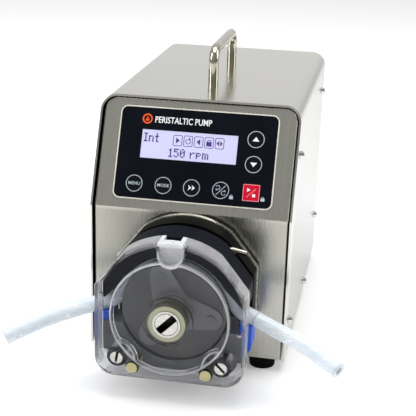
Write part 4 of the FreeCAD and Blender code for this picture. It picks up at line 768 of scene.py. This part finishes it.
def make_display_print():
    """The display's words and its five icons: play, turn, left, lock and both ways."""
    ink = Print(DISPLAY_FACE)
    ink.letters("Int", -41.1, 51.9)
    ink.letters("150 rpm", -20.9, 41.4)
    icons = [ICON_START + ICON_PITCH * i for i in range(5)]
    middle = ICON_HEIGHT
    for x in icons:
        ink.band(rounded(x, middle, 3.5, 4.2, 1.2), rounded(x, middle, 3.0, 3.7, 0.8))
    play, turn, left, lock, both = icons
    ink.patch((play - 1.3, middle - 2.4), (play + 1.6, middle), (play - 1.3, middle + 2.4))
    ink.line(sweep(turn, middle - 0.3, 1.8, 40, -250), 0.55)
    head = turn + 0.2
    ink.patch((head, middle + 2.6), (head, middle + 0.4), (turn + 2.2, middle + 1.9))
    ink.patch((left + 1.2, middle - 2.4), (left + 1.2, middle + 2.4), (left - 1.6, middle))
    ink.patch(*rounded(lock, middle - 1, 2.0, 1.7, 0.4, 2))
    ink.line(sweep(lock, middle + 0.6, 1.4, 0, 180, 8), 0.6)
    for side in (-1, 1):
        near, far = both + side * 0.4, both + side * 2.4
        ink.patch((near, middle - 2), (far, middle), (near, middle + 2))
    ink.done("display_figures", "violet")


print_rings_and_words()
print_fast_arrows()
print_direction_arrows()
print_up_and_down()
print_start_stop()
make_pad_print()
make_display_print()


# ---------------------------------------------------------------- soft tube

ROUTES = {
    "tube_tail_left": (
        (-58.4, -42, 54.1),
        (-74.4, -47.8, 49.6),
        (-90.2, -54.6, 44.7),
        (-104.5, -62.2, 39.4),
        (-119.5, -72.2, 33.1),
    ),
    "tube_tail_right": (
        (58.4, -42, 54.1),
        (74.4, -47.8, 49.6),
        (90.5, -54.6, 45.8),
        (105.5, -62.4, 41.4),
        (121, -72.4, 36),
    ),
}
CASE_FRONT = Vector((0, -92.35, 10))  # where the routes are measured from, in mm
TUBE_RADIUS = 5.7 * MM
TUBE_WALL = 2.4 * MM


def make_tail(node):
    """A free end of the tube: a hollow, open-ended tube along its route."""
    curve = bpy.data.curves.new(node + "_line", "CURVE")
    curve.dimensions = "3D"
    spline = curve.splines.new("NURBS")
    points = [(Vector(point) + CASE_FRONT) * MM for point in ROUTES[node]]
    spline.points.add(len(points) - 1)
    for spot, point in zip(spline.points, points):
        spot.co = (*point, 1)
    spline.order_u = 3
    spline.use_endpoint_u = True
    spline.resolution_u = 12
    curve.bevel_depth = TUBE_RADIUS
    curve.bevel_resolution = 10
    tail = bpy.data.objects.new(node.replace("tube_tail", "soft_tube"), curve)
    scene.collection.objects.link(tail)
    curve.materials.append(FINISH["tube_soft"])
    wall = tail.modifiers.new("wall", "SOLIDIFY")
    wall.thickness = TUBE_WALL
    wall.offset = -1
    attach(tail, "case")
    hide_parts(node)


make_tail("tube_tail_left")
make_tail("tube_tail_right")


# ---------------------------------------------------------------- light and floor


FLOOR_REACH = 6  # how far it goes each way, in metres
# Each lamp's place, its size and its power. All of them face one spot.
LAMPS = {
    "left_light": ((-1.4, -0.7, 1.0), (0.7, 1.2), 16),
    "right_light": ((1.5, 0.2, 0.9), (1.0, 1.2), 10),
    "top_light": ((0, -0.1, 1.9), (1.6, 1.2), 26),
}
LAMP_TARGET = (0, 0, 0.1)
# How bright what the metal mirrors is, from front to back and from below to above.
MIRRORED = {
    "Y": ((0.0, 0.48), (0.15, 0.42), (0.35, 0.12), (0.55, 0.5), (0.8, 0.7), (1.0, 1.0)),
    "Z": ((0.0, 0.6), (0.5, 0.8), (0.75, 1.0), (1.0, 1.6)),
}


def make_floor():
    """A plain pale floor with a faint glow of its own."""
    mesh = bpy.data.meshes.new("floor")
    signs = (-1, -1), (1, -1), (1, 1), (-1, 1)
    corners = [(x * FLOOR_REACH, y * FLOOR_REACH, 0) for x, y in signs]
    mesh.from_pydata(corners, [], [(0, 1, 2, 3)])
    floor = bpy.data.objects.new("floor", mesh)
    n = Nodes("floor_white")
    n.set(Base_Color=(0.85, 0.85, 0.85, 1), Roughness=0.9, Emission_Color=(1, 1, 1, 1))
    n.set(Emission_Strength=0.2)
    mesh.materials.append(n.material)
    scene.collection.objects.link(floor)


def make_lamp(name, at, size, power):
    """A rectangular lamp that faces the target."""
    data = bpy.data.lights.new(name, "AREA")
    data.shape = "RECTANGLE"
    data.size, data.size_y = size
    data.energy = power
    lamp = bpy.data.objects.new(name, data)
    lamp.location = at
    lamp.rotation_euler = (Vector(LAMP_TARGET) - Vector(at)).to_track_quat("-Z", "Y").to_euler()
    scene.collection.objects.link(lamp)


def mirrored_ramp(tree, source, stops):
    """A grey that changes with one axis of the direction, from -1 to 1."""
    add, link = tree.nodes.new, tree.links.new
    shift = add("ShaderNodeMapRange")
    shift.inputs["From Min"].default_value = -1
    link(source, shift.inputs["Value"])
    node = add("ShaderNodeValToRGB")
    ramp = node.color_ramp
    while len(ramp.elements) < len(stops):
        ramp.elements.new(0.5)
    for element, (place, grey) in zip(ramp.elements, stops):
        element.position = place
        element.color = (grey, grey, grey, 1)
    link(shift.outputs[0], node.inputs["Fac"])
    return node.outputs["Color"]


def make_world():
    """White for the camera. What the metal mirrors is darker in front than at the sides."""
    world = bpy.data.worlds.new("studio")
    world.use_nodes = True
    tree = world.node_tree
    add, link = tree.nodes.new, tree.links.new
    split = add("ShaderNodeSeparateXYZ")
    link(add("ShaderNodeTexCoord").outputs["Generated"], split.inputs[0])
    product = add("ShaderNodeVectorMath")
    product.operation = "MULTIPLY"
    for axis, factor in zip("YZ", product.inputs):
        link(mirrored_ramp(tree, split.outputs[axis], MIRRORED[axis]), factor)
    plain = tree.nodes["Background"]
    plain.inputs["Color"].default_value = (1, 1, 1, 1)
    plain.inputs["Strength"].default_value = 1
    mirrored = add("ShaderNodeBackground")
    link(product.outputs[0], mirrored.inputs["Color"])
    choice = add("ShaderNodeMixShader")
    link(add("ShaderNodeLightPath").outputs["Is Camera Ray"], choice.inputs[0])
    link(mirrored.outputs[0], choice.inputs[1])
    link(plain.outputs[0], choice.inputs[2])
    link(choice.outputs[0], tree.nodes["World Output"].inputs["Surface"])
    scene.world = world


make_floor()
make_world()
for lamp_name, settings in LAMPS.items():
    make_lamp(lamp_name, *settings)
scene.view_settings.view_transform = "Standard"
